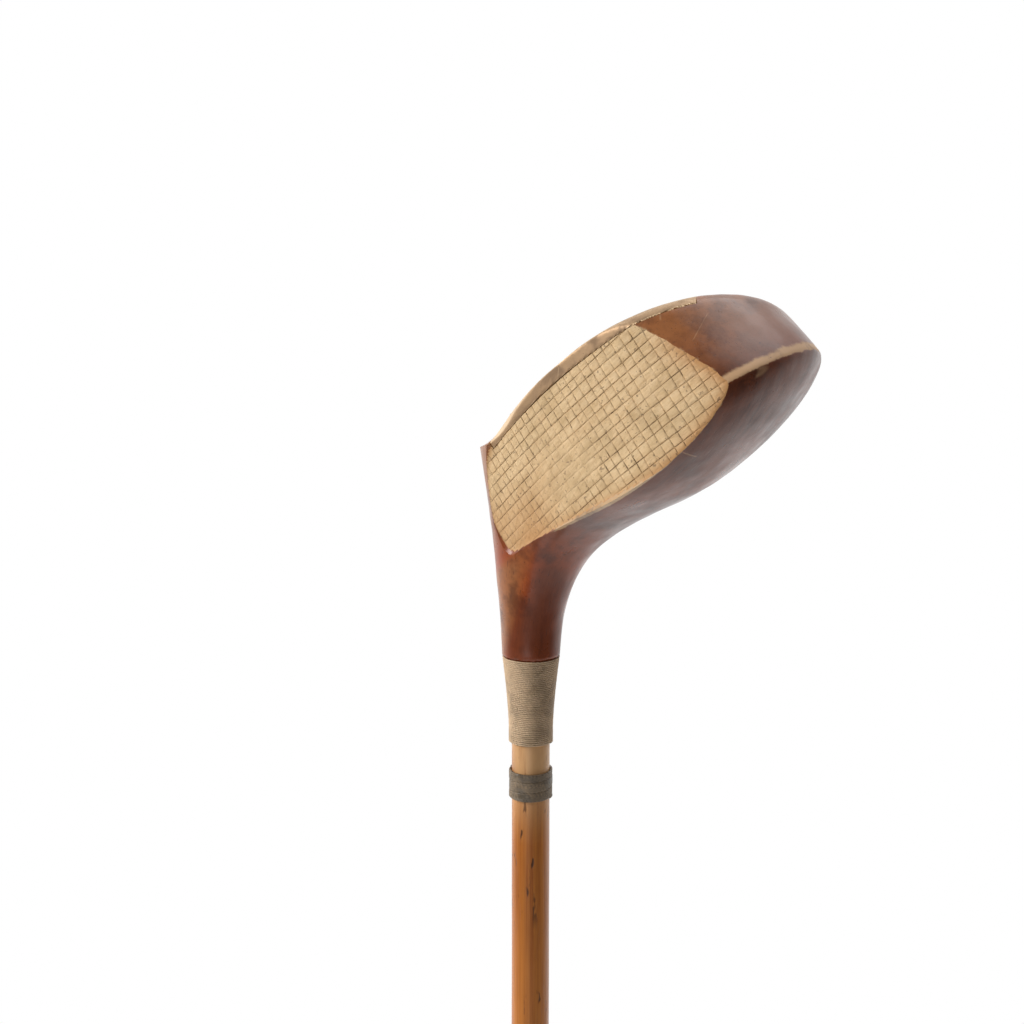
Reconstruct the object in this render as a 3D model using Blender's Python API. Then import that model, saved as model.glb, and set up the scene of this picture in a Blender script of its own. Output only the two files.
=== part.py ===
"""A right-handed golf driver with a wooden socket head on a hickory shaft.

The club stands on its butt with the head at the top: the shaft's axis is +Z, the origin is the
centre of the butt's end face, and the striking face looks toward -Y with the toe toward +X.
The head is laid out in its own frame: x runs from heel to toe along the scoring lines, y comes
forward out of the striking face and z rises from the sole to the crown. That frame's origin is
where the shaft's axis meets the line of the sole.
"""
import math

import bmesh
import bpy
import numpy as np
from mathutils import Matrix, Vector

MM = 0.001
GAP = 0.3 * MM                    # clearance between every pair of neighbouring pieces

# Whole club
CLUB_LENGTH = 1085.0 * MM         # butt to the sole line, along the shaft
LIE = math.radians(52.2)          # angle between the shaft and the scoring lines
LOFT = math.radians(5.9)

# Head block: plan outline, rim, crown, skirt and sole
HEAD_CENTRE_X = 36.5 * MM
HEAD_CENTRE_Y = -17.3 * MM
HEAD_HALF_LENGTH = 46.2 * MM
HEAD_HALF_DEPTH = 41.3 * MM
RIM_HEIGHT = 31.6 * MM            # at the shaft's axis, level with the face
RIM_RISE_TO_TOE = 0.065
RIM_RISE_TO_FACE = 0.16
CROWN_HEIGHT = 15.0 * MM          # dome above the rim
CROWN_POWER = 1.61                # below 2 gives the rim its edge
SKIRT_LEAN = 0.15                 # inward slope of the wall below the rim
SKIRT_ROUND = 1.2 * MM
SOLE_DROP = -2.4 * MM             # sole below the scoring lines' base at the shaft's axis
SOLE_RISE_TO_TOE = 0.028
SOLE_RADIUS_LONG = 300.0 * MM
SOLE_RADIUS_ACROSS = 220.0 * MM
SOLE_LOWEST_Y = 10.6 * MM
SOLE_ROUND = 6.0 * MM
NECK_BLEND = 31.9 * MM

# Striking face
FACE_FORWARD = 17.0 * MM          # face ahead of the shaft's axis, at the crest of the bulge
FACE_BULGE_RADIUS = 283.0 * MM
FACE_CREST_X = 18.0 * MM
FACE_HEEL_CENTRE = (5.0 * MM, 24.0 * MM)
FACE_HEEL_RADIUS = 23.5 * MM
FACE_HEEL_CROWN = 33.6 * MM       # top edge of the face beside the neck
FACE_HEEL_CROWN_RISE = 0.205
FACE_TOOL_REACH = 45.0 * MM
FACE_CROWN_RUN = 60.0 * MM        # the crown's edge is straight from the heel to here
FACE_CORNER_SHARE = 0.86          # the heel corner's place, as a share of the heel's radius
FACE_CORNER_RUN = 5.0 * MM
FACE_CORNER_DROP = 1.5 * MM
FACE_STRIP = 8.0 * MM             # width of the flat strips that make up the bulge

# Neck and socket, measured down the shaft from the head's origin
NECK_SHOULDER = 69.0 * MM         # where the neck steps in under the whipping
NECK_END = 93.0 * MM
NECK_RADIUS = 9.2 * MM            # at the shoulder
NECK_SPREAD = 0.056               # growth of the radius toward the head
NECK_START = 6.0 * MM             # the neck's core ends here inside the block
SEAT_RADIUS = 8.2 * MM            # neck under the whipping, at the shoulder
NECK_END_RADIUS = 6.1 * MM
SEAT_POWER = 1.5
SPIGOT_ENTRY_RADIUS = 5.2 * MM
SPIGOT_TIP_RADIUS = 3.9 * MM
SPIGOT_TIP = 12.0 * MM            # tip of the spigot, down the shaft from the head's origin

# Shaft
SHAFT_NECK_RADIUS = 6.12 * MM
SHAFT_BUTT_RADIUS = 7.9 * MM
SHAFT_TAPER_POWER = 1.4

# Thread windings
THREAD = 0.75 * MM                # thickness of one layer of waxed thread
WHIPPING_END = 97.0 * MM          # neck whipping's lower end, down the shaft
BINDING_START = 106.4 * MM
BINDING_LENGTH = 8.8 * MM

# Grip
GRIP_LENGTH = 290.0 * MM
GRIP_START = 0.6 * MM             # leather's edge above the butt's end face
LISTING_THICKNESS = 1.0 * MM
LISTING_INSET = 6.0 * MM          # listing stops short of both ends of the leather
LEATHER_THICKNESS = 1.2 * MM
GRIP_WHIPPING_LENGTH = 12.0 * MM
GRIP_WHIPPING_INSET = 4.0 * MM
TACK_INSET = 24.0 * MM            # tacks in from both ends of the leather
TACK_HEAD_RADIUS = 2.4 * MM
TACK_HEAD_HEIGHT = 0.9 * MM
TACK_PIN_RADIUS = 0.6 * MM
TACK_PIN_DEPTH = 4.5 * MM         # pin's reach into the shaft

# Sole plate and its screws
PLATE_THICKNESS = 4.3 * MM
PLATE_HEEL_X = -1.5 * MM
PLATE_TOE_X = 74.0 * MM
PLATE_DEPTH = 42.0 * MM           # from ahead of the face back to the rear edge
PLATE_FRONT_Y = 24.0 * MM         # ahead of the face, which trims the plate
PLATE_CORNER_WIDTH = 21.0 * MM    # sweep of the rear corners, along the sole
PLATE_CORNER_DEPTH = 24.0 * MM    # and across it
PLATE_TOOL_REACH = 12.0 * MM      # the plate's tool goes on below the sole
PLATE_CELL = 8.0 * MM
SCREW_HEAD_RADIUS = 3.4 * MM
SCREW_SHANK_RADIUS = 1.7 * MM
SCREW_CONE_DEPTH = 2.0 * MM
SCREW_LENGTH = 15.0 * MM
SCREW_TIP = 3.0 * MM
SCREW_SINK = 0.25 * MM            # screw head below the plate's surface
SCREW_HOLE_OVERRUN = 3.0 * MM     # the hole's tool stands this far out of the sole
SLOT_WIDTH = 0.9 * MM
SLOT_DEPTH = 0.9 * MM
SCREW_PLACES = (
    (8.0 * MM, 8.5 * MM),
    (34.0 * MM, 8.5 * MM),
    (51.0 * MM, 4.5 * MM),
    (20.0 * MM, -10.0 * MM),
    (46.0 * MM, -10.0 * MM),
)

# Lead weights
SOLE_LEAD_RADIUS = 6.5 * MM
SOLE_LEAD_DEPTH = 11.0 * MM
SOLE_LEAD_PLACE = (33.0 * MM, -5.5 * MM)
BACK_LEAD_LENGTH = 40.0 * MM
BACK_LEAD_HEIGHT = 10.0 * MM
BACK_LEAD_DEPTH = 14.0 * MM
BACK_LEAD_RISE = 18.0 * MM        # its middle above the line of the sole
BACK_TOOL_OVERRUN = 10.0 * MM     # the pocket's tool stands this far out of the back

# The spine that the block's rings follow, from the neck into the toe
NECK_STATION = 0.8                # shares of the neck's length
SPINE_START = 0.6
SPINE_BEND = 0.16
SPINE_TURN = 0.45                 # shares of the head's half length
SPINE_END = 0.3
SPINE_FORWARD = 4.0 * MM
SPINE_HEIGHT = 17.0 * MM

# Fineness of the facets
ROUND_SIDES = 28
HEAD_SIDES = 36
SMALL_SIDES = 14

HEAD_Z = CLUB_LENGTH
NECK_TILT = math.pi / 2 - LIE
# Unit vector down the shaft, toward the grip, in the head's frame
DOWN_SHAFT = np.array((-math.sin(NECK_TILT), 0.0, math.cos(NECK_TILT)))


# ---------------------------------------------------------------- shape of the head block

def smooth_max(a, b, radius):
    """Return the larger of two distances, rounded off where they are about equal."""
    share = np.clip(0.5 + 0.5 * (a - b) / radius, 0.0, 1.0)
    return a * share + b * (1 - share) + radius * share * (1 - share)


def sole_height(x, y):
    """Return the height of the sole's outer surface, which curves both ways."""
    along = (x - FACE_CREST_X) ** 2 / (2 * SOLE_RADIUS_LONG)
    across = (y - SOLE_LOWEST_Y) ** 2 / (2 * SOLE_RADIUS_ACROSS)
    return SOLE_DROP + SOLE_RISE_TO_TOE * x + along + across


def body_distance(x, y, z):
    """Return the distance outside the head's body: crown dome, leaning skirt and sole."""
    rim = RIM_HEIGHT + RIM_RISE_TO_TOE * x + RIM_RISE_TO_FACE * (y - FACE_FORWARD)
    plan = np.hypot((x - HEAD_CENTRE_X) / HEAD_HALF_LENGTH, (y - HEAD_CENTRE_Y) / HEAD_HALF_DEPTH)
    lift = np.clip((z - rim) / CROWN_HEIGHT, 0.0, None)
    reach = (plan ** CROWN_POWER + lift ** CROWN_POWER) ** (1 / CROWN_POWER)
    safe = np.maximum(reach, 1e-6)
    slope_up = np.where(lift > 0, (lift / safe) ** (CROWN_POWER - 1), 0.0) / CROWN_HEIGHT
    mean_half = (HEAD_HALF_LENGTH + HEAD_HALF_DEPTH) / 2
    slope_out = (plan / safe) ** (CROWN_POWER - 1) / mean_half
    crown = (reach - 1) / np.sqrt(slope_up ** 2 + slope_out ** 2 + 1e-9)
    lean = SKIRT_LEAN * (rim - z)
    skirt = ((plan - 1) * mean_half + lean) / math.hypot(1.0, SKIRT_LEAN)
    wall = smooth_max(crown, skirt, SKIRT_ROUND)
    return smooth_max(wall, sole_height(x, y) - z, SOLE_ROUND)


def neck_distance(x, y, z):
    """Return the distance outside the neck's cone, which follows the shaft's axis."""
    down = x * DOWN_SHAFT[0] + z * DOWN_SHAFT[2]
    radial = np.sqrt((x - down * DOWN_SHAFT[0]) ** 2 + (z - down * DOWN_SHAFT[2]) ** 2 + y ** 2)
    radius = NECK_RADIUS + NECK_SPREAD * np.clip(NECK_SHOULDER - down, 0.0, None)
    return np.maximum(radial - radius, NECK_START - down)


def blank_distance(points):
    """Return the distance outside the head block before the face is cut."""
    x, y, z = points[..., 0], points[..., 1], points[..., 2]
    return -smooth_max(-body_distance(x, y, z), -neck_distance(x, y, z), NECK_BLEND)


def surface_from(origins, directions):
    """Walk outward from points inside the block to its surface."""
    travel = np.zeros(origins.shape[:-1] + (1,))
    for _ in range(140):
        travel = travel - 0.7 * blank_distance(origins + travel * directions)[..., None]
    return origins + travel * directions


def neck_seat_radius(down):
    """Return the neck's radius under the whipping, at a distance down the shaft."""
    left = (NECK_END - down) / (NECK_END - NECK_SHOULDER)
    return NECK_END_RADIUS + (SEAT_RADIUS - NECK_END_RADIUS) * max(left, 0.0) ** SEAT_POWER


def spine_stations():
    """Return points and directions along the block's spine, from the neck to the toe."""
    start = DOWN_SHAFT * (NECK_SHOULDER * SPINE_START)
    bend = DOWN_SHAFT * (NECK_SHOULDER * SPINE_BEND)
    end_y, end_z = HEAD_CENTRE_Y + SPINE_FORWARD, SPINE_HEIGHT
    end = np.array((HEAD_CENTRE_X + SPINE_END * HEAD_HALF_LENGTH, end_y, end_z))
    turn = np.array((HEAD_CENTRE_X - SPINE_TURN * HEAD_HALF_LENGTH, end_y, end_z))
    stations = [(DOWN_SHAFT * d, -DOWN_SHAFT) for d in (NECK_SHOULDER - GAP, NECK_SHOULDER * NECK_STATION)]
    for t in np.linspace(0.0, 1.0, 15):
        u = 1 - t
        point = u ** 3 * start + 3 * u * u * t * bend + 3 * u * t * t * turn + t ** 3 * end
        along = u * u * (bend - start) + 2 * u * t * (turn - bend) + t * t * (end - turn)
        stations.append((point, along / np.linalg.norm(along)))
    return stations


def ring_directions(along):
    """Return unit vectors around a ring that is square to the spine."""
    side = np.cross(along, (0.0, 1.0, 0.0))
    side /= np.linalg.norm(side)
    up = np.cross(side, along)
    angles = np.arange(HEAD_SIDES) * 2 * math.pi / HEAD_SIDES
    return np.cos(angles)[:, None] * side + np.sin(angles)[:, None] * up


def head_blank_mesh():
    """Build the turned and carved block: whipped neck end, neck, body and rounded toe."""
    rings = []
    for down in np.linspace(NECK_END, NECK_SHOULDER, 6):
        radius = neck_seat_radius(down)
        rings.append(DOWN_SHAFT * down + radius * ring_directions(-DOWN_SHAFT))
    stations = spine_stations()
    for point, along in stations:
        around = ring_directions(along)
        rings.append(surface_from(np.broadcast_to(point, around.shape), around))
    point, along = stations[-1]
    around = ring_directions(along)
    for turn in np.radians((16, 32, 48, 62, 76)):
        aim = math.cos(turn) * around + math.sin(turn) * along
        rings.append(surface_from(np.broadcast_to(point, aim.shape), aim))
    toe = surface_from(point[None, :], along[None, :])[0]

    bm = bmesh.new()
    loops = [[bm.verts.new(tuple(p)) for p in ring] for ring in rings]
    bm.faces.new(loops[0])
    for lower, upper in zip(loops, loops[1:]):
        for i in range(HEAD_SIDES):
            j = (i + 1) % HEAD_SIDES
            bm.faces.new((lower[i], lower[j], upper[j], upper[i]))
    tip = bm.verts.new(tuple(toe))
    for i in range(HEAD_SIDES):
        bm.faces.new((loops[-1][i], loops[-1][(i + 1) % HEAD_SIDES], tip))
    return finish_mesh(bm, "head_blank")


# ---------------------------------------------------------------- general helpers

def finish_mesh(bm, name, smooth_angle=35.0):
    """Turn a bmesh into a mesh with outward faces, smooth up to an angle."""
    bmesh.ops.recalc_face_normals(bm, faces=bm.faces)
    mesh = bpy.data.meshes.new(name)
    bm.to_mesh(mesh)
    bm.free()
    mesh.shade_smooth()
    mesh.set_sharp_from_angle(angle=math.radians(smooth_angle))
    return mesh


def add_object(name, mesh, material=None, parent=None, matrix=None):
    """Link a named object, dressed in one material, at a place in its parent's frame."""
    obj = bpy.data.objects.new(name, mesh)
    bpy.context.scene.collection.objects.link(obj)
    obj.parent = parent
    if matrix is not None:
        obj.matrix_local = matrix
    if material is not None and not mesh.materials:
        mesh.materials.append(material)
    return obj


def add_cutter(name, mesh, parent=None, matrix=None):
    """Link an object that only cuts others."""
    obj = add_object(name, mesh, parent=parent, matrix=matrix)
    obj.hide_render = True
    obj.display_type = 'WIRE'
    return obj


def cut(obj, cutter, operation='DIFFERENCE'):
    """Put one Boolean step on an object."""
    step = obj.modifiers.new(f"{operation.lower()}_{cutter.name}", 'BOOLEAN')
    step.operation = operation
    step.solver = 'EXACT'
    step.object = cutter


def lathe(name, profile, sides=ROUND_SIDES, closed=False):
    """Turn a profile of (radius, height) points about Z.

    An open profile starts and ends on the axis. A closed one is a sleeve's wall.
    """
    bm = bmesh.new()
    rings = []
    for radius, height in profile:
        if radius <= 0:
            rings.append([bm.verts.new((0, 0, height))])
            continue
        step = 2 * math.pi / sides
        rings.append([
            bm.verts.new((radius * math.cos(i * step), radius * math.sin(i * step), height))
            for i in range(sides)
        ])
    pairs = list(zip(rings, rings[1:]))
    if closed:
        pairs.append((rings[-1], rings[0]))
    for lower, upper in pairs:
        for i in range(sides):
            j = (i + 1) % sides
            corners = [lower[i % len(lower)], lower[j % len(lower)],
                       upper[j % len(upper)], upper[i % len(upper)]]
            bm.faces.new(list(dict.fromkeys(corners)))
    return finish_mesh(bm, name)


def sleeve(name, heights, inner, thickness):
    """Turn a sleeve whose inner radius is a function of height."""
    inside = [(inner(z), z) for z in heights]
    outside = [(inner(z) + thickness, z) for z in reversed(heights)]
    return lathe(name, inside + outside, closed=True)


def make_material(name, colour, roughness, metallic=0.0):
    """Make a plain Principled material."""
    material = bpy.data.materials.new(name)
    material.use_nodes = True
    shader = material.node_tree.nodes["Principled BSDF"]
    shader.inputs["Base Color"].default_value = (*colour, 1.0)
    shader.inputs["Roughness"].default_value = roughness
    shader.inputs["Metallic"].default_value = metallic
    return material


# ---------------------------------------------------------------- tools that shape the head

def crown_edge_height(x):
    """Return the height of the face's straight top edge."""
    return FACE_HEEL_CROWN + FACE_HEEL_CROWN_RISE * x


def face_tool_mesh():
    """Build the tool that cuts the striking face, bounded by the heel's curve.

    Its outline is drawn flat, split into upright strips and bent back to the bulge.
    """
    cx, cz = FACE_HEEL_CENTRE
    top = crown_edge_height(FACE_CROWN_RUN)
    far_x, low_z = HEAD_CENTRE_X + 2 * HEAD_HALF_LENGTH, -FACE_TOOL_REACH
    corner_x = cx - FACE_HEEL_RADIUS * FACE_CORNER_SHARE
    corner_top = crown_edge_height(corner_x)
    outline = [(FACE_CROWN_RUN, top), (corner_x + FACE_CORNER_RUN, corner_top),
               (corner_x, corner_top - FACE_CORNER_DROP)]
    for turn in np.radians(np.linspace(180, 264, 12)):
        outline.append((cx + FACE_HEEL_RADIUS * math.cos(turn), cz + FACE_HEEL_RADIUS * math.sin(turn)))
    outline += [(cx, low_z), (far_x, low_z), (far_x, top + FACE_TOOL_REACH),
                (FACE_CROWN_RUN, top + FACE_TOOL_REACH)]

    bm = bmesh.new()
    flat = bm.faces.new([bm.verts.new((x, 0.0, z)) for x, z in outline])
    flat.normal_update()
    x = corner_x + FACE_STRIP
    while x < far_x:
        geometry = bm.verts[:] + bm.edges[:] + bm.faces[:]
        bmesh.ops.bisect_plane(bm, geom=geometry, plane_co=(x, 0, 0), plane_no=(1, 0, 0), dist=1e-7)
        x += FACE_STRIP
    for vert in bm.verts:
        bulge = (vert.co.x - FACE_CREST_X) ** 2 / (2 * FACE_BULGE_RADIUS)
        forward = (FACE_FORWARD - bulge - math.sin(LOFT) * vert.co.z) / math.cos(LOFT)
        vert.co.y = forward
    front = bmesh.ops.extrude_face_region(bm, geom=bm.faces[:])["geom"]
    moved = [item for item in front if isinstance(item, bmesh.types.BMVert)]
    bmesh.ops.translate(bm, verts=moved, vec=(0, FACE_TOOL_REACH, 0))
    return finish_mesh(bm, "face_tool")


def plate_outline(grow):
    """Return the sole plate's outline in plan: straight in front, swept at both rear corners."""
    heel, toe = PLATE_HEEL_X - grow, PLATE_TOE_X + grow
    front, rear = PLATE_FRONT_Y + grow, PLATE_FRONT_Y - PLATE_DEPTH - grow
    points = [(heel, front), (heel, rear + PLATE_CORNER_DEPTH)]
    for turn in np.linspace(0.0, math.pi / 2, 7):
        points.append((heel + PLATE_CORNER_WIDTH * (1 - math.cos(turn)),
                       rear + PLATE_CORNER_DEPTH * (1 - math.sin(turn))))
    for turn in np.linspace(math.pi / 2, 0.0, 7):
        points.append((toe - PLATE_CORNER_WIDTH * (1 - math.cos(turn)),
                       rear + PLATE_CORNER_DEPTH * (1 - math.sin(turn))))
    points.append((toe, front))
    return list(dict.fromkeys((round(x, 7), round(y, 7)) for x, y in points))


def plate_tool_mesh(name, grow):
    """Build the plate's own space, grown all round: its inner side runs parallel to the sole."""
    outline = plate_outline(grow)
    bm = bmesh.new()
    flat = bm.faces.new([bm.verts.new((x, y, 0.0)) for x, y in outline])
    flat.normal_update()
    for axis, (low, high) in enumerate(((PLATE_HEEL_X, PLATE_TOE_X),
                                        (PLATE_FRONT_Y - PLATE_DEPTH, PLATE_FRONT_Y))):
        normal = (1, 0, 0) if axis == 0 else (0, 1, 0)
        place = low + PLATE_CELL
        while place < high:
            geometry = bm.verts[:] + bm.edges[:] + bm.faces[:]
            centre = tuple(place * n for n in normal)
            bmesh.ops.bisect_plane(bm, geom=geometry, plane_co=centre, plane_no=normal, dist=1e-7)
            place += PLATE_CELL
    bmesh.ops.triangulate(bm, faces=bm.faces[:])
    for vert in bm.verts:
        vert.co.z = sole_height(vert.co.x, vert.co.y) + PLATE_THICKNESS + grow
    below = bmesh.ops.extrude_face_region(bm, geom=bm.faces[:])["geom"]
    for item in below:
        if isinstance(item, bmesh.types.BMVert):
            item.co.z = SOLE_DROP - PLATE_TOOL_REACH
    return finish_mesh(bm, name)


def block_underside(x, y):
    """Return the height of the finished block's underside, which the neck's blend fills out."""
    start = np.array((x, y, RIM_HEIGHT / 2))
    return float(surface_from(start, np.array((0.0, 0.0, -1.0)))[2])


def sole_frame(x, y):
    """Return a frame on the block's underside, its Z pointing into the head."""
    height = block_underside(x, y)
    slope_x = (block_underside(x + MM, y) - block_underside(x - MM, y)) / (2 * MM)
    slope_y = (block_underside(x, y + MM) - block_underside(x, y - MM)) / (2 * MM)
    inward = Vector((-slope_x, -slope_y, 1.0)).normalized()
    return Matrix.Translation((x, y, height)) @ inward.to_track_quat('Z', 'X').to_matrix().to_4x4()


def screw_profile(grow, above=0.0):
    """Return a countersunk screw's profile from its head down to its point."""
    base = SCREW_SINK - grow
    head, shank = SCREW_HEAD_RADIUS + grow, SCREW_SHANK_RADIUS + grow
    profile = [(0.0, base - above), (head, base - above)]
    if above > 0:
        profile.append((head, base))
    profile += [
        (shank, SCREW_SINK + SCREW_CONE_DEPTH + grow * 0.5),
        (shank, SCREW_SINK + SCREW_LENGTH - SCREW_TIP),
        (0.0, SCREW_SINK + SCREW_LENGTH + grow * 1.5),
    ]
    return profile


def box_mesh(name, size, centre=(0.0, 0.0, 0.0)):
    """Build a box from its three sizes."""
    bm = bmesh.new()
    bmesh.ops.create_cube(bm, size=1.0, matrix=Matrix.Translation(centre) @ Matrix.Diagonal((*size, 1.0)))
    return finish_mesh(bm, name)


def back_lead_tool_mesh(name, grow):
    """Build the back weight's pocket: a level slot with round ends, open at the head's back."""
    radius = BACK_LEAD_HEIGHT / 2 + grow
    half = BACK_LEAD_LENGTH / 2 - BACK_LEAD_HEIGHT / 2
    inner_y = HEAD_CENTRE_Y - HEAD_HALF_DEPTH + BACK_LEAD_DEPTH + grow
    outer_y = HEAD_CENTRE_Y - HEAD_HALF_DEPTH - BACK_TOOL_OVERRUN
    bm = bmesh.new()
    ring = []
    for side in (1, -1):
        for turn in np.linspace(-math.pi / 2, math.pi / 2, 7):
            ring.append(bm.verts.new((HEAD_CENTRE_X + side * (half + radius * math.cos(turn)), inner_y,
                                      BACK_LEAD_RISE + side * radius * math.sin(turn))))
    wall = bm.faces.new(ring)
    wall.normal_update()
    grown = bmesh.ops.extrude_face_region(bm, geom=[wall])["geom"]
    for item in grown:
        if isinstance(item, bmesh.types.BMVert):
            item.co.y = outer_y
    return finish_mesh(bm, name)


# ---------------------------------------------------------------- sub-parts of the head

def build_head(frame, materials):
    """Make the block, sole plate, screws and both lead weights."""
    blank = head_blank_mesh()
    face_tool = add_cutter("face_tool", face_tool_mesh(), frame)
    plate_tool = add_cutter("plate_tool", plate_tool_mesh("plate_tool", 0.0), frame)
    plate_seat = add_cutter("plate_seat", plate_tool_mesh("plate_seat", GAP), frame)
    back_tool = add_cutter("back_tool", back_lead_tool_mesh("back_tool", 0.0), frame)
    back_seat = add_cutter("back_seat", back_lead_tool_mesh("back_seat", GAP), frame)

    head = add_object("head", blank.copy(), materials["head_wood"], frame)
    plate = add_object("sole_plate", blank.copy(), materials["brass"], frame)
    back = add_object("back_weight", blank.copy(), materials["lead"], frame)
    cut(head, face_tool)
    cut(head, plate_seat)
    cut(head, back_seat)
    cut(plate, face_tool)
    cut(plate, plate_tool, 'INTERSECT')
    cut(back, back_tool, 'INTERSECT')

    bore_profile = [(0.0, SPIGOT_TIP - GAP), (SPIGOT_TIP_RADIUS + GAP, SPIGOT_TIP - GAP),
                    (SPIGOT_ENTRY_RADIUS + GAP, NECK_END), (SPIGOT_ENTRY_RADIUS + GAP, NECK_END + 5 * MM),
                    (0.0, NECK_END + 5 * MM)]
    to_shaft = Vector(DOWN_SHAFT).to_track_quat('Z', 'Y').to_matrix().to_4x4()
    cut(head, add_cutter("socket_bore", lathe("socket_bore", bore_profile), frame, to_shaft))

    add_sole_lead(frame, head, materials["lead"])
    add_screws(frame, head, plate, materials["screw_brass"])


def add_sole_lead(frame, head, material):
    """Let a lead plug into the block, under the sole plate."""
    place = sole_frame(*SOLE_LEAD_PLACE)
    low = PLATE_THICKNESS + 2 * GAP + sole_height(*SOLE_LEAD_PLACE) - block_underside(*SOLE_LEAD_PLACE)
    plug = [(0.0, low), (SOLE_LEAD_RADIUS, low), (SOLE_LEAD_RADIUS, low + SOLE_LEAD_DEPTH),
            (0.0, low + SOLE_LEAD_DEPTH)]
    radius, high = SOLE_LEAD_RADIUS + GAP, low + SOLE_LEAD_DEPTH + GAP
    pocket = [(0.0, 0.0), (radius, 0.0), (radius, high), (0.0, high)]
    add_object("sole_lead", lathe("sole_lead", plug), material, frame, place)
    cut(head, add_cutter("lead_pocket", lathe("lead_pocket", pocket), frame, place))


def add_screws(frame, head, plate, material):
    """Screw the plate to the block, each screw square to the sole."""
    screw = lathe("sole_screw", screw_profile(0.0), SMALL_SIDES)
    hole = lathe("screw_hole", screw_profile(GAP, above=SCREW_HOLE_OVERRUN), SMALL_SIDES)
    slot = box_mesh("screw_slot", (SCREW_HEAD_RADIUS * 3, SLOT_WIDTH, SLOT_DEPTH * 2))
    for number, (x, y) in enumerate(SCREW_PLACES, start=1):
        place = sole_frame(x, y) @ Matrix.Rotation(math.radians(37 * number), 4, 'Z')
        obj = add_object(f"sole_screw_{number}", screw, material, frame, place)
        top = place @ Matrix.Translation((0, 0, SCREW_SINK))
        cut(obj, add_cutter(f"screw_slot_{number}", slot, frame, top))
        tool = add_cutter(f"screw_hole_{number}", hole, frame, place)
        cut(head, tool)
        cut(plate, tool)


# ---------------------------------------------------------------- shaft, windings and grip

def shaft_radius(z):
    """Return the bare shaft's radius at a height: thick at the butt, slim at the neck."""
    top = HEAD_Z - NECK_END
    left = max(top - z, 0.0) / top
    return SHAFT_NECK_RADIUS + (SHAFT_BUTT_RADIUS - SHAFT_NECK_RADIUS) * left ** SHAFT_TAPER_POWER


def build_shaft(materials):
    """Turn the hickory shaft, with a tapered spigot for the head's socket."""
    shoulder = HEAD_Z - NECK_END - GAP
    profile = [(0.0, 0.0)]
    for z in np.linspace(0.0, shoulder, 13):
        profile.append((shaft_radius(z), z))
    profile += [(SPIGOT_ENTRY_RADIUS, shoulder), (SPIGOT_TIP_RADIUS, HEAD_Z - SPIGOT_TIP),
                (0.0, HEAD_Z - SPIGOT_TIP)]
    return add_object("shaft", lathe("shaft", profile), materials["hickory"])


def build_windings(materials):
    """Wind the neck whipping over the joint, and the short binding below it."""
    def over_neck(z):
        down = HEAD_Z - z
        wood = neck_seat_radius(down) if down < NECK_END else 0.0
        return max(wood, shaft_radius(z)) + GAP

    low, high = HEAD_Z - WHIPPING_END, HEAD_Z - NECK_SHOULDER - GAP
    heights = [low] + list(np.linspace(HEAD_Z - NECK_END, high, 6))
    add_object("neck_whipping", sleeve("neck_whipping", heights, over_neck, THREAD), materials["linen"])
    low = HEAD_Z - BINDING_START - BINDING_LENGTH
    heights = [low, low + BINDING_LENGTH]
    add_object("shaft_binding", sleeve("shaft_binding", heights, lambda z: shaft_radius(z) + GAP, THREAD),
               materials["dark_thread"])


def listing_outer(z):
    """Return the outer radius of the cloth under the leather."""
    return shaft_radius(z) + GAP + LISTING_THICKNESS


def leather_outer(z):
    """Return the outer radius of the leather."""
    return listing_outer(z) + GAP + LEATHER_THICKNESS


def build_grip(shaft, materials):
    """Lay cloth on the shaft, leather over it, thread at both ends, and two tacks."""
    end = GRIP_START + GRIP_LENGTH
    listing = add_object(
        "grip_underlisting",
        sleeve("grip_underlisting", list(np.linspace(GRIP_START + LISTING_INSET, end - LISTING_INSET, 5)),
               lambda z: shaft_radius(z) + GAP, LISTING_THICKNESS), materials["cloth"])
    leather = add_object(
        "grip_leather",
        sleeve("grip_leather", list(np.linspace(GRIP_START, end, 7)),
               lambda z: listing_outer(z) + GAP, LEATHER_THICKNESS), materials["leather"])

    low = GRIP_START + GRIP_WHIPPING_INSET
    add_object("grip_butt_whipping",
               sleeve("grip_butt_whipping", [low, low + GRIP_WHIPPING_LENGTH],
                      lambda z: leather_outer(z) + GAP, THREAD), materials["black_thread"])
    low = end - GRIP_WHIPPING_LENGTH
    step = end + GAP

    def over_end(z):
        return leather_outer(z) + GAP if z < step else shaft_radius(z) + GAP

    rise = [low, end + GAP / 2, step + THREAD, step + GRIP_WHIPPING_INSET]
    add_object("grip_top_whipping", sleeve("grip_top_whipping", rise, over_end, THREAD),
               materials["black_thread"])

    for name, z in (("grip_tack_butt", GRIP_START + TACK_INSET), ("grip_tack_top", end - TACK_INSET)):
        add_tack(name, z, (shaft, listing, leather), materials["tack_brass"])


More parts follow.
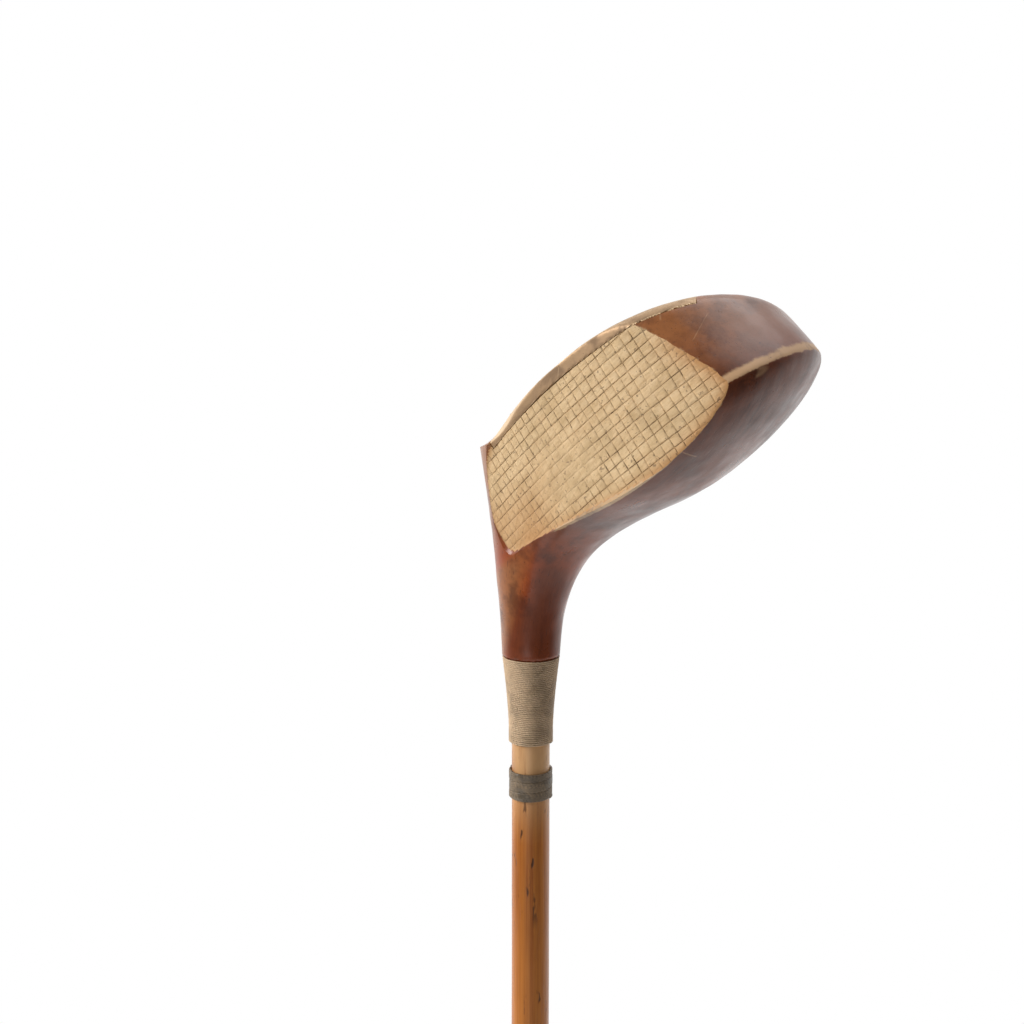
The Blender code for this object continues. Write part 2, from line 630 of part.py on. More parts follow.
def add_tack(name, z, layers, material):
    """Drive a round-headed tack through the leather and cloth into the shaft's back."""
    skin, pin_end = leather_outer(z) + GAP, shaft_radius(z) - TACK_PIN_DEPTH
    dome = [(TACK_HEAD_RADIUS * math.cos(a), skin + TACK_HEAD_HEIGHT * math.sin(a))
            for a in np.linspace(0.0, math.pi / 2, 4)[:-1]]
    profile = [(0.0, pin_end), (TACK_PIN_RADIUS, pin_end + TACK_PIN_RADIUS * 2), (TACK_PIN_RADIUS, skin)]
    profile += dome + [(0.0, skin + TACK_HEAD_HEIGHT)]
    radius = TACK_PIN_RADIUS + GAP
    hole = [(0.0, pin_end - GAP), (radius, pin_end - GAP), (radius, skin + MM), (0.0, skin + MM)]
    place = Matrix.Translation((0, 0, z)) @ Vector((0, 1, 0)).to_track_quat('Z', 'X').to_matrix().to_4x4()
    add_object(name, lathe(name, profile, SMALL_SIDES), material, matrix=place)
    tool = add_cutter(f"{name}_hole", lathe(f"{name}_hole", hole, SMALL_SIDES), matrix=place)
    for layer in layers:
        cut(layer, tool)


# ---------------------------------------------------------------- whole club

def build_club():
    """Make every piece of the club."""
    for obj in list(bpy.data.objects):
        bpy.data.objects.remove(obj, do_unlink=True)
    materials = {
        "head_wood": make_material("head_wood", (0.13, 0.045, 0.02), 0.3),
        "hickory": make_material("hickory", (0.33, 0.16, 0.06), 0.45),
        "brass": make_material("brass", (0.38, 0.28, 0.15), 0.45, 0.9),
        "screw_brass": make_material("screw_brass", (0.3, 0.22, 0.12), 0.5, 0.9),
        "lead": make_material("lead", (0.25, 0.25, 0.26), 0.6, 0.8),
        "linen": make_material("linen", (0.33, 0.24, 0.16), 0.85),
        "dark_thread": make_material("dark_thread", (0.17, 0.13, 0.09), 0.85),
        "black_thread": make_material("black_thread", (0.03, 0.027, 0.025), 0.7),
        "cloth": make_material("cloth", (0.25, 0.2, 0.14), 0.95),
        "leather": make_material("leather", (0.07, 0.03, 0.018), 0.55),
        "tack_brass": make_material("tack_brass", (0.5, 0.37, 0.17), 0.35, 0.9),
    }
    frame = bpy.data.objects.new("head_frame", None)
    bpy.context.scene.collection.objects.link(frame)
    toe = Vector((math.cos(NECK_TILT), 0, math.sin(NECK_TILT)))
    forward = Vector((0, -1, 0))
    crown = toe.cross(forward)
    axes = Matrix((toe, forward, crown)).transposed().to_4x4()
    frame.matrix_world = Matrix.Translation((0, 0, HEAD_Z)) @ axes

    build_head(frame, materials)
    shaft = build_shaft(materials)
    build_windings(materials)
    build_grip(shaft, materials)


build_club()
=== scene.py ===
"""Looks of an old right-handed golf driver: carved wooden head, hickory shaft, thread and leather.

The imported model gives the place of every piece. The club stands on its butt, its shaft along +Z,
with the striking face toward -Y and the toe toward +X. The head is shaped in a frame of its own:
x runs from heel to toe along the scored lines, y comes forward out of the face and z rises from
sole to crown. Lengths are in metres throughout.
"""
import logging
import math
from collections.abc import Callable, Iterable, Sequence
from dataclasses import dataclass, field
from enum import Enum

import bmesh
import bpy
import numpy as np
from mathutils import Matrix, Vector


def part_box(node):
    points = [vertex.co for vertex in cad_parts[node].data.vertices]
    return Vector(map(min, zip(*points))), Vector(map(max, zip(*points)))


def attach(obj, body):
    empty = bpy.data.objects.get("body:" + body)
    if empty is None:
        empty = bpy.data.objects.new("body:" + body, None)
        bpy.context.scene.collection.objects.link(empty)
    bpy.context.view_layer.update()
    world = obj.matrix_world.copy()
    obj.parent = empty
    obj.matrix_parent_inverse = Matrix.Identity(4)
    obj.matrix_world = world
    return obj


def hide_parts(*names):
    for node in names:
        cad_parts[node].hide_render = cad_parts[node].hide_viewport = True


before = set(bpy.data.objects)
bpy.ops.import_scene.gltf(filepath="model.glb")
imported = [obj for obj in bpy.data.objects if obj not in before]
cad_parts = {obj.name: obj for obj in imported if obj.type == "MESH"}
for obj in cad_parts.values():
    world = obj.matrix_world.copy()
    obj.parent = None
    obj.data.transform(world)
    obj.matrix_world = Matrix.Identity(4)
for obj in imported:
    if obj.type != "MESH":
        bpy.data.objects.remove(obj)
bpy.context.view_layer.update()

LOG = logging.getLogger("driver")
MM = 0.001
BODY = "root"
SEED = 1912

Colour = tuple[float, float, float]
Field = Callable[[np.ndarray], np.ndarray]
Profile = list[tuple[float, float]]


# ================================================================ shader building

class Graph:
    """A node tree with short calls that add nodes and link them."""

    def __init__(self, tree: bpy.types.NodeTree) -> None:
        """Wrap a node tree."""
        self.tree = tree

    def add(self, kind: str, **settings: object) -> bpy.types.Node:
        """Add a node and set its properties.

        Args:
            kind: the node's type name.
            settings: properties set on the node.

        Returns:
            The new node.
        """
        node = self.tree.nodes.new(kind)
        for name, value in settings.items():
            setattr(node, name, value)
        return node

    def put(self, socket: bpy.types.NodeSocket, value: object) -> None:
        """Link a socket, or set its value, on an input."""
        if isinstance(value, bpy.types.NodeSocket):
            self.tree.links.new(value, socket)
        elif isinstance(value, tuple) and socket.type == 'RGBA':
            socket.default_value = (*value, 1.0) if len(value) == 3 else value
        else:
            socket.default_value = value

    def math(self, operation: str, a: object, b: object = 0.0, clamp: bool = False) -> bpy.types.NodeSocket:
        """Return the result of a maths node."""
        node = self.add("ShaderNodeMath", operation=operation, use_clamp=clamp)
        self.put(node.inputs[0], a)
        self.put(node.inputs[1], b)
        return node.outputs[0]

    def scale(self, vector: object, by: object) -> bpy.types.NodeSocket:
        """Return a vector multiplied by another, axis by axis."""
        node = self.add("ShaderNodeVectorMath", operation='MULTIPLY')
        self.put(node.inputs[0], vector)
        self.put(node.inputs[1], by)
        return node.outputs[0]

    def noise(self, vector: object, scale: float, detail: float = 3.0,
              roughness: float = 0.5, distortion: float = 0.0) -> bpy.types.NodeSocket:
        """Return the value of a noise texture."""
        node = self.add("ShaderNodeTexNoise")
        for name, value in (("Vector", vector), ("Scale", scale), ("Detail", detail),
                            ("Roughness", roughness), ("Distortion", distortion)):
            self.put(node.inputs[name], value)
        return node.outputs["Fac"]

    def span(self, value: object, low: object, high: object, to_low: float = 0.0,
             to_high: float = 1.0) -> bpy.types.NodeSocket:
        """Return a value eased from one range to another, held at its ends."""
        node = self.add("ShaderNodeMapRange", interpolation_type='SMOOTHSTEP', clamp=True)
        for name, part in (("Value", value), ("From Min", low), ("From Max", high),
                           ("To Min", to_low), ("To Max", to_high)):
            self.put(node.inputs[name], part)
        return node.outputs["Result"]

    def mix(self, share: object, a: object, b: object, blend: str = 'MIX') -> bpy.types.NodeSocket:
        """Return a mix of two colours."""
        node = self.add("ShaderNodeMix", data_type='RGBA', blend_type=blend)
        self.put(node.inputs["Factor"], share)
        self.put(node.inputs[6], a)
        self.put(node.inputs[7], b)
        return node.outputs[2]

    def mask(self, name: str) -> bpy.types.NodeSocket:
        """Return a number stored on the mesh's points."""
        return self.add("ShaderNodeAttribute", attribute_name=name).outputs["Fac"]

    def trace(self, name: str) -> bpy.types.NodeSocket:
        """Return a vector stored on the mesh's points."""
        return self.add("ShaderNodeAttribute", attribute_name=name).outputs["Vector"]

    def place(self) -> bpy.types.NodeSocket:
        """Return the piece's own coordinates."""
        return self.add("ShaderNodeTexCoord").outputs["Object"]

    def group(self, tree: bpy.types.NodeTree, **values: object) -> bpy.types.Node:
        """Add a node group and set its inputs; an underscore in a name stands for a space."""
        node = self.add("ShaderNodeGroup", node_tree=tree)
        for name, value in values.items():
            self.put(node.inputs[name.replace("_", " ")], value)
        return node

    def bump(self, height: object, depth: float, strength: float = 1.0) -> bpy.types.NodeSocket:
        """Return a normal bent by a height, whose full range is depth metres."""
        node = self.add("ShaderNodeBump")
        self.put(node.inputs["Strength"], strength)
        self.put(node.inputs["Distance"], depth)
        self.put(node.inputs["Height"], height)
        return node.outputs["Normal"]


def make_group(name: str, inputs: dict[str, object], outputs: dict[str, str],
               fill: Callable[[Graph, bpy.types.Node, bpy.types.Node], None]) -> bpy.types.NodeTree:
    """Make a shader node group.

    Args:
        name: the group's name.
        inputs: socket name to default value; a tuple makes a vector.
        outputs: socket name to socket type.
        fill: adds the nodes between the group's input and output.

    Returns:
        The new group.
    """
    tree = bpy.data.node_groups.new(name, "ShaderNodeTree")
    for label, value in inputs.items():
        kind = "NodeSocketVector" if isinstance(value, tuple) else "NodeSocketFloat"
        socket = tree.interface.new_socket(label, in_out='INPUT', socket_type=kind)
        socket.default_value = value
    for label, kind in outputs.items():
        tree.interface.new_socket(label, in_out='OUTPUT', socket_type=kind)
    graph = Graph(tree)
    fill(graph, graph.add("NodeGroupInput"), graph.add("NodeGroupOutput"))
    return tree


class Effects:
    """The shader node groups that several finishes share."""

    def __init__(self) -> None:
        """Build every group once."""
        self.grain = make_group(
            "wood_grain", {"Vector": (0.0, 0.0, 0.0), "Along": 30.0, "Across": 700.0},
            {"Tone": "NodeSocketFloat", "Pores": "NodeSocketFloat"}, self._fill_grain)
        self.wear = make_group(
            "edge_wear", {"Vector": (0.0, 0.0, 0.0), "Mask": 0.0, "Scale": 300.0, "Break": 0.5},
            {"Wear": "NodeSocketFloat"}, self._fill_wear)
        self.grime = make_group(
            "grime", {"Vector": (0.0, 0.0, 0.0), "Scale": 60.0, "Specks": 0.3},
            {"Smudge": "NodeSocketFloat", "Speck": "NodeSocketFloat"}, self._fill_grime)
        self.scratches = make_group(
            "scratches", {"Vector": (0.0, 0.0, 0.0), "Scale": 120.0, "Amount": 0.5},
            {"Scratch": "NodeSocketFloat"}, self._fill_scratches)
        self.twist = make_group(
            "thread_twist", {"Vector": (0.0, 0.0, 0.0), "Turns": 1800.0},
            {"Height": "NodeSocketFloat", "Tone": "NodeSocketFloat"}, self._fill_twist)

    @staticmethod
    def _fill_grain(graph: Graph, given: bpy.types.Node, out: bpy.types.Node) -> None:
        """Draw long streaks and fine open pores along the first axis of the vector."""
        stretch = graph.add("ShaderNodeCombineXYZ")
        graph.put(stretch.inputs[0], given.outputs["Along"])
        graph.put(stretch.inputs[1], given.outputs["Across"])
        graph.put(stretch.inputs[2], given.outputs["Across"])
        drawn = graph.scale(given.outputs["Vector"], stretch.outputs[0])
        streaks = graph.noise(drawn, 1.0, 5.0, 0.6, 0.3)
        fine = graph.noise(drawn, 4.3, 3.0, 0.6)
        tone = graph.math('ADD', graph.math('MULTIPLY', streaks, 0.65), graph.math('MULTIPLY', fine, 0.35))
        graph.put(out.inputs["Tone"], graph.span(tone, 0.3, 0.7))
        pores = graph.noise(drawn, 6.1, 2.0, 0.5)
        graph.put(out.inputs["Pores"], graph.span(pores, 0.62, 0.74))

    @staticmethod
    def _fill_wear(graph: Graph, given: bpy.types.Node, out: bpy.types.Node) -> None:
        """Break a smooth mask up into a ragged, rubbed edge."""
        ragged = graph.noise(given.outputs["Vector"], given.outputs["Scale"], 5.0, 0.65)
        shift = graph.math('MULTIPLY', graph.math('SUBTRACT', ragged, 0.5), given.outputs["Break"])
        shifted = graph.math('ADD', given.outputs["Mask"], graph.math('MULTIPLY', shift, 2.0))
        graph.put(out.inputs["Wear"], graph.span(shifted, 0.3, 0.75))

    @staticmethod
    def _fill_grime(graph: Graph, given: bpy.types.Node, out: bpy.types.Node) -> None:
        """Draw soft smudges and small dark specks."""
        soft = graph.noise(given.outputs["Vector"], given.outputs["Scale"], 4.0, 0.55, 0.4)
        graph.put(out.inputs["Smudge"], graph.span(soft, 0.42, 0.68))
        fine_scale = graph.math('MULTIPLY', given.outputs["Scale"], 9.0)
        fine = graph.noise(given.outputs["Vector"], fine_scale, 2.0, 0.5)
        floor = graph.math('SUBTRACT', 0.8, graph.math('MULTIPLY', given.outputs["Specks"], 0.2))
        graph.put(out.inputs["Speck"], graph.span(fine, floor, graph.math('ADD', floor, 0.05)))

    @staticmethod
    def _fill_scratches(graph: Graph, given: bpy.types.Node, out: bpy.types.Node) -> None:
        """Draw thin lines that wander, broken off here and there."""
        drawn = graph.scale(given.outputs["Vector"], (1.0, 0.3, 0.22))
        bent = graph.noise(drawn, given.outputs["Scale"], 1.0, 0.4, 0.2)
        line = graph.math('ABSOLUTE', graph.math('SUBTRACT', bent, 0.5))
        thin = graph.span(line, 0.0, 0.006, 1.0, 0.0)
        gaps = graph.noise(given.outputs["Vector"], graph.math('MULTIPLY', given.outputs["Scale"], 1.7), 1.0)
        kept = graph.span(gaps, 0.6, 0.64)
        graph.put(out.inputs["Scratch"], graph.math(
            'MULTIPLY', graph.math('MULTIPLY', thin, kept), given.outputs["Amount"]))

    @staticmethod
    def _fill_twist(graph: Graph, given: bpy.types.Node, out: bpy.types.Node) -> None:
        """Draw the slanting plies of a twisted thread, and its tone along its length."""
        parts = graph.add("ShaderNodeSeparateXYZ")
        graph.put(parts.inputs[0], given.outputs["Vector"])
        phase = graph.math('ADD', graph.math('MULTIPLY', parts.outputs[0], given.outputs["Turns"]),
                           graph.math('MULTIPLY', parts.outputs[1], 4 * math.pi))
        graph.put(out.inputs["Height"], graph.math('ABSOLUTE', graph.math('SINE', phase)))
        graph.put(out.inputs["Tone"], graph.noise(given.outputs["Vector"], 45.0, 3.0, 0.6))


# ================================================================ finishes

def new_material(name: str) -> tuple[bpy.types.Material, Graph, bpy.types.Node]:
    """Return a new material, its graph and its Principled shader."""
    material = bpy.data.materials.new(name)
    material.use_nodes = True
    graph = Graph(material.node_tree)
    return material, graph, material.node_tree.nodes["Principled BSDF"]


def set_plain(shader: bpy.types.Node, **values: float) -> None:
    """Set uniform values on the shader's own sockets; an underscore stands for a space."""
    for name, value in values.items():
        shader.inputs[name.replace("_", " ")].default_value = value


@dataclass(frozen=True)
class VarnishedWood:
    """Stained and varnished head wood, rubbed pale along its edges, with a painted highlight along the
    crown's crease.
    """

    dark: Colour = (0.048, 0.012, 0.005)
    middle: Colour = (0.17, 0.040, 0.011)
    red: Colour = (0.32, 0.060, 0.013)
    golden: Colour = (0.27, 0.105, 0.036)
    # worn is pale rubbed wood; along the crown's crease it also serves as a painted highlight
    worn: Colour = (0.52, 0.32, 0.17)
    bare: Colour = (0.58, 0.40, 0.22)

    def build(self, effects: Effects) -> bpy.types.Material:
        """Return the material; it reads the points' grain, rim and fade masks and the mask of the crown's
        crease, which is partly rubbed wear and partly a painted highlight.
        """
        material, graph, shader = new_material("varnished_wood")
        grain = graph.group(effects.grain, Vector=graph.trace("grain"), Along=28.0, Across=420.0)
        place = graph.place()
        depth = graph.noise(place, 34.0, 3.0, 0.5)
        stain = graph.mix(graph.span(depth, 0.3, 0.7), self.dark, self.middle)
        streaked = graph.mix(graph.math('MULTIPLY', grain.outputs["Tone"], 0.55), stain, self.middle)
        redness = graph.math('MULTIPLY', graph.mask("neck"), graph.span(depth, 0.4, 0.6, 0.25, 0.95))
        streaked = graph.mix(redness, streaked, self.red)
        faded = graph.mix(graph.math('MULTIPLY', graph.mask("fade"), 0.85), streaked, self.golden)
        porous = graph.mix(graph.math('MULTIPLY', grain.outputs["Pores"], 0.6), faded, self.dark)
        # The band along the crown's crease is painted pale: partly rubbed varnish, partly a painted highlight
        # where the edge catches the light.
        ridge = graph.group(effects.wear, Vector=place, Mask=graph.mask("ridge"), Scale=260.0, Break=0.42)
        rim = graph.group(effects.wear, Vector=place, Mask=graph.mask("rim"), Scale=420.0, Break=0.5)
        rubbed = graph.mix(graph.math('MULTIPLY', ridge.outputs[0], 0.85), porous, self.worn)
        edged = graph.mix(graph.math('MULTIPLY', rim.outputs[0], 0.7), rubbed, self.bare)
        scratch = graph.group(effects.scratches, Vector=place, Scale=45.0, Amount=0.3)
        marked = graph.mix(scratch.outputs[0], edged, self.worn)
        blotch = graph.span(graph.noise(place, 55.0, 5.0, 0.65), 0.5, 0.66, 0.0, 0.6)
        marked = graph.mix(blotch, marked, self.dark)
        grime = graph.group(effects.grime, Vector=place, Scale=70.0, Specks=0.35)
        dirty = graph.mix(graph.math('MULTIPLY', grime.outputs["Speck"], 0.7), marked, (0.02, 0.01, 0.008))
        graph.put(shader.inputs["Base Color"], dirty)
        rough = graph.span(graph.noise(place, 90.0, 4.0, 0.6), 0.3, 0.7, 0.26, 0.42)
        graph.put(shader.inputs["Roughness"], graph.math('ADD', rough, graph.math(
            'MULTIPLY', ridge.outputs[0], 0.25)))
        relief = graph.math('SUBTRACT', graph.noise(place, 140.0, 3.0, 0.5), graph.math(
            'MULTIPLY', grain.outputs["Pores"], 0.12))
        relief = graph.math('SUBTRACT', relief, graph.math('MULTIPLY', scratch.outputs[0], 0.4))
        graph.put(shader.inputs["Normal"], graph.bump(relief, 0.25 * MM, 0.6))
        set_plain(shader, IOR=1.46, Specular_IOR_Level=0.35, Coat_Weight=0.08, Coat_Roughness=0.15)
        return material


@dataclass(frozen=True)
class BareFace:
    """Unvarnished face wood, hand-scored, with dirt in the cuts and a browner border."""

    straw: Colour = (0.55, 0.37, 0.19)
    pale: Colour = (0.66, 0.48, 0.275)
    border: Colour = (0.42, 0.20, 0.065)
    dirt: Colour = (0.10, 0.055, 0.024)

    def build(self, effects: Effects) -> bpy.types.Material:
        """Return the material; it reads the points' score and border masks."""
        material, graph, shader = new_material("bare_face_wood")
        place = graph.place()
        grain = graph.group(effects.grain, Vector=graph.trace("grain"), Along=45.0, Across=650.0)
        wood = graph.mix(grain.outputs["Tone"], self.straw, self.pale)
        soft = graph.group(effects.grime, Vector=place, Scale=110.0, Specks=0.75)
        smudged = graph.mix(graph.math('MULTIPLY', soft.outputs["Smudge"], 0.5), wood, (0.40, 0.27, 0.13))
        fibres = graph.noise(graph.scale(graph.trace("grain"), (260.0, 1.0, 1500.0)), 1.0, 3.0, 0.7)
        smudged = graph.mix(graph.span(fibres, 0.5, 0.68, 0.0, 0.5), smudged, (0.36, 0.22, 0.095))
        bordered = graph.mix(graph.math('MULTIPLY', graph.mask("border"), 0.9), smudged, self.border)
        pitted = graph.mix(graph.math('MULTIPLY', soft.outputs["Speck"], 0.6), bordered, self.dirt)
        packed = graph.noise(place, 420.0, 3.0, 0.6)
        patchy = graph.span(graph.noise(place, 170.0, 3.0, 0.6), 0.36, 0.62, 0.3, 1.0)
        filled = graph.math('MULTIPLY', graph.mask("score"), graph.span(packed, 0.36, 0.6, 0.1, 1.0))
        scored = graph.mix(graph.math('MULTIPLY', filled, patchy), pitted, self.dirt)
        graph.put(shader.inputs["Base Color"], scored)
        graph.put(shader.inputs["Roughness"], graph.span(packed, 0.3, 0.7, 0.55, 0.8))
        height = graph.math('ADD', graph.noise(place, 900.0, 3.0, 0.6), graph.math('MULTIPLY', fibres, -0.9))
        graph.put(shader.inputs["Normal"], graph.bump(height, 0.2 * MM, 0.8))
        set_plain(shader, IOR=1.45)
        return material


@dataclass(frozen=True)
class Hickory:
    """Oiled hickory: straight grain, dark flecks and a colour that deepens down the shaft."""

    pale: Colour = (0.58, 0.345, 0.165)
    honey: Colour = (0.46, 0.155, 0.022)
    deep: Colour = (0.26, 0.070, 0.010)
    fleck: Colour = (0.035, 0.016, 0.009)

    def build(self, effects: Effects) -> bpy.types.Material:
        """Return the material; it reads the points' mask of bare wood near the neck."""
        material, graph, shader = new_material("hickory")
        place = graph.place()
        trace = graph.add("ShaderNodeMapping", vector_type='POINT')
        trace.inputs["Rotation"].default_value = (0.0, math.radians(90), 0.0)
        graph.put(trace.inputs["Vector"], place)
        grain = graph.group(effects.grain, Vector=trace.outputs[0], Along=9.0, Across=420.0)
        broad = graph.noise(graph.scale(place, (60.0, 60.0, 7.0)), 1.0, 3.0, 0.55)
        wood = graph.mix(graph.span(broad, 0.3, 0.7), self.deep, self.honey)
        lit = graph.mix(graph.math('MULTIPLY', grain.outputs["Tone"], 0.55), wood, (0.58, 0.22, 0.040))
        bare = graph.mix(graph.mask("bare"), lit, self.pale)
        flecks = graph.noise(graph.scale(place, (500.0, 500.0, 130.0)), 1.0, 2.0, 0.5)
        cluster = graph.span(graph.noise(place, 28.0, 2.0), 0.42, 0.6)
        fleck = graph.math('MULTIPLY', graph.span(flecks, 0.64, 0.71), cluster)
        stains = graph.span(graph.noise(graph.scale(place, (90.0, 90.0, 16.0)), 1.0, 4.0, 0.6), 0.6, 0.75)
        stained = graph.mix(graph.math('MULTIPLY', stains, 0.55), bare, self.deep)
        marked = graph.mix(graph.math('MULTIPLY', fleck, 0.85), stained, self.fleck)
        porous = graph.mix(graph.math('MULTIPLY', grain.outputs["Pores"], 0.45), marked, self.deep)
        graph.put(shader.inputs["Base Color"], porous)
        graph.put(shader.inputs["Roughness"], graph.span(broad, 0.3, 0.7, 0.32, 0.5))
        height = graph.math('SUBTRACT', graph.math('MULTIPLY', grain.outputs["Tone"], 0.4), graph.math(
            'ADD', fleck, grain.outputs["Pores"]))
        graph.put(shader.inputs["Normal"], graph.bump(height, 0.12 * MM, 0.5))
        set_plain(shader, IOR=1.47, Specular_IOR_Level=0.35, Coat_Weight=0.05, Coat_Roughness=0.25)
        return material


@dataclass(frozen=True)
class AgedMetal:
    """Tarnished metal, brown in its hollows and brighter where it is rubbed."""

    name: str
    base: Colour
    tarnish: Colour
    bright: Colour
    metallic: float = 0.75
    rough: float = 0.42
    dents: float = 0.05 * MM

    def build(self, effects: Effects) -> bpy.types.Material:
        """Return the material; it reads the points' rubbed mask."""
        material, graph, shader = new_material(self.name)
        place = graph.place()
        grime = graph.group(effects.grime, Vector=place, Scale=130.0, Specks=0.6)
        rubbed = graph.group(effects.wear, Vector=place, Mask=graph.mask("rubbed"), Scale=500.0, Break=0.3)
        dull = graph.mix(graph.math('MULTIPLY', grime.outputs["Smudge"], 0.7), self.base, self.tarnish)
        spotted = graph.mix(graph.math('MULTIPLY', grime.outputs["Speck"], 0.6), dull, self.tarnish)
        scratch = graph.group(effects.scratches, Vector=place, Scale=140.0, Amount=0.5)
        scratched = graph.mix(scratch.outputs[0], spotted, self.bright)
        graph.put(shader.inputs["Base Color"], graph.mix(rubbed.outputs[0], scratched, self.bright))
        graph.put(shader.inputs["Metallic"], graph.span(
            grime.outputs["Smudge"], 0.0, 1.0, self.metallic, self.metallic * 0.55))
        graph.put(shader.inputs["Roughness"], graph.span(
            grime.outputs["Smudge"], 0.0, 1.0, self.rough, self.rough + 0.22))
        height = graph.math('SUBTRACT', graph.noise(place, 240.0, 3.0, 0.5), scratch.outputs[0])
        graph.put(shader.inputs["Normal"], graph.bump(height, self.dents, 0.8))
        return material


@dataclass(frozen=True)
class WaxedThread:
    """Twisted, waxed thread, soiled in patches."""

    name: str
    light: Colour
    dark: Colour
    soil: Colour
    soiling: float = 0.5
    rough: float = 0.75

    def build(self, effects: Effects) -> bpy.types.Material:
        """Return the material; it reads the points' run along and round the thread."""
        material, graph, shader = new_material(self.name)
        place = graph.place()
        run = graph.trace("run")
        twist = graph.group(effects.twist, Vector=run, Turns=2600.0)
        colour = graph.mix(graph.span(twist.outputs["Tone"], 0.3, 0.7), self.dark, self.light)
        plies = graph.mix(graph.math('MULTIPLY', graph.math('SUBTRACT', 1.0, twist.outputs["Height"]), 0.3),
                          colour, self.soil)
        grime = graph.group(effects.grime, Vector=place, Scale=170.0, Specks=0.4)
        soiled = graph.mix(graph.math('MULTIPLY', grime.outputs["Smudge"], self.soiling), plies, self.soil)
        graph.put(shader.inputs["Base Color"], soiled)
        graph.put(shader.inputs["Roughness"], graph.span(
            grime.outputs["Smudge"], 0.0, 1.0, self.rough, self.rough - 0.2))
        graph.put(shader.inputs["Normal"], graph.bump(twist.outputs["Height"], 0.06 * MM, 0.8))
        set_plain(shader, IOR=1.45)
        return material


@dataclass(frozen=True)
class HandledLeather:
    """Dark leather with fine grain, greyer where hands have rubbed it."""

    dark: Colour = (0.022, 0.011, 0.008)
    brown: Colour = (0.075, 0.032, 0.018)
    rubbed: Colour = (0.17, 0.10, 0.065)

    def build(self, effects: Effects) -> bpy.types.Material:
        """Return the material; it reads the points' edge mask."""
        material, graph, shader = new_material("grip_leather")
        place = graph.place()
        grime = graph.group(effects.grime, Vector=place, Scale=45.0, Specks=0.2)
        base = graph.mix(grime.outputs["Smudge"], self.brown, self.dark)
        wear = graph.group(effects.wear, Vector=place, Mask=graph.mask("edge"), Scale=240.0, Break=0.5)
        worn = graph.mix(graph.math('MULTIPLY', wear.outputs[0], 0.7), base, self.rubbed)
        cells = graph.add("ShaderNodeTexVoronoi", feature='DISTANCE_TO_EDGE')
        graph.put(cells.inputs["Vector"], place)
        graph.put(cells.inputs["Scale"], 1500.0)
        creases = graph.span(cells.outputs["Distance"], 0.0, 0.18)
        graph.put(shader.inputs["Base Color"], graph.mix(
            graph.math('MULTIPLY', graph.math('SUBTRACT', 1.0, creases), 0.5), worn, self.dark))
        graph.put(shader.inputs["Roughness"], graph.span(
            graph.noise(place, 60.0, 3.0), 0.3, 0.7, 0.42, 0.62))
        height = graph.math('ADD', creases, graph.noise(place, 320.0, 3.0, 0.6))
        graph.put(shader.inputs["Normal"], graph.bump(height, 0.09 * MM, 0.7))
        set_plain(shader, IOR=1.47)
        return material


@dataclass(frozen=True)
class ListingCloth:
    """Plain-woven wool cloth."""

    light: Colour = (0.33, 0.27, 0.18)
    dark: Colour = (0.16, 0.125, 0.08)

    def build(self, effects: Effects) -> bpy.types.Material:
        """Return the material."""
        material, graph, shader = new_material("listing_cloth")
        place = graph.place()
        waves = []
        for bands in ('Z', 'DIAGONAL'):
            wave = graph.add("ShaderNodeTexWave", wave_type='BANDS', bands_direction=bands)
            graph.put(wave.inputs["Vector"], place)
            graph.put(wave.inputs["Scale"], 260.0)
            graph.put(wave.inputs["Distortion"], 1.5)
            waves.append(wave.outputs["Fac"])
        weave = graph.math('MULTIPLY', waves[0], waves[1])
        grime = graph.group(effects.grime, Vector=place, Scale=60.0, Specks=0.3)
        cloth = graph.mix(weave, self.dark, self.light)
        graph.put(shader.inputs["Base Color"], graph.mix(
            graph.math('MULTIPLY', grime.outputs["Smudge"], 0.4), cloth, self.dark))
        graph.put(shader.inputs["Roughness"], graph.span(weave, 0.0, 1.0, 0.95, 0.8))
        graph.put(shader.inputs["Normal"], graph.bump(weave, 0.15 * MM, 0.8))
        return material


@dataclass(frozen=True)
class PaleFloor:
    """Matte white board."""

    colour: Colour = (0.95, 0.95, 0.948)

    def build(self) -> bpy.types.Material:
        """Return the material."""
        material, graph, shader = new_material("pale_floor")
        mottle = graph.noise(graph.place(), 3.0, 3.0)
        graph.put(shader.inputs["Base Color"], graph.mix(
            graph.span(mottle, 0.3, 0.7), self.colour, tuple(c * 0.99 for c in self.colour)))
        set_plain(shader, Roughness=0.9)
        return material


class Metal(Enum):
    """The metals on the club."""

    PLATE = AgedMetal("plate_brass", (0.34, 0.215, 0.115), (0.17, 0.10, 0.052), (0.60, 0.43, 0.26),
                      0.45, 0.5)
    SCREW = AgedMetal("screw_brass", (0.34, 0.235, 0.13), (0.12, 0.078, 0.043), (0.58, 0.43, 0.26))
    TACK = AgedMetal("tack_brass", (0.55, 0.38, 0.15), (0.26, 0.16, 0.06), (0.80, 0.62, 0.33), 0.95, 0.3)
    LEAD = AgedMetal("run_lead", (0.27, 0.27, 0.275), (0.13, 0.125, 0.12), (0.46, 0.46, 0.465),
                     0.7, 0.5, 0.2 * MM)


class Thread(Enum):
    """The threads on the club."""

    LINEN = WaxedThread("linen_thread", (0.70, 0.51, 0.33), (0.47, 0.34, 0.22), (0.20, 0.135, 0.075), 0.45)
    PITCHED = WaxedThread("pitched_thread", (0.26, 0.185, 0.115), (0.13, 0.095, 0.060),
                          (0.035, 0.03, 0.022), 0.6, 0.6)
    BLACK = WaxedThread("black_thread", (0.03, 0.026, 0.023), (0.014, 0.012, 0.011),
                        (0.05, 0.045, 0.04), 0.3, 0.55)


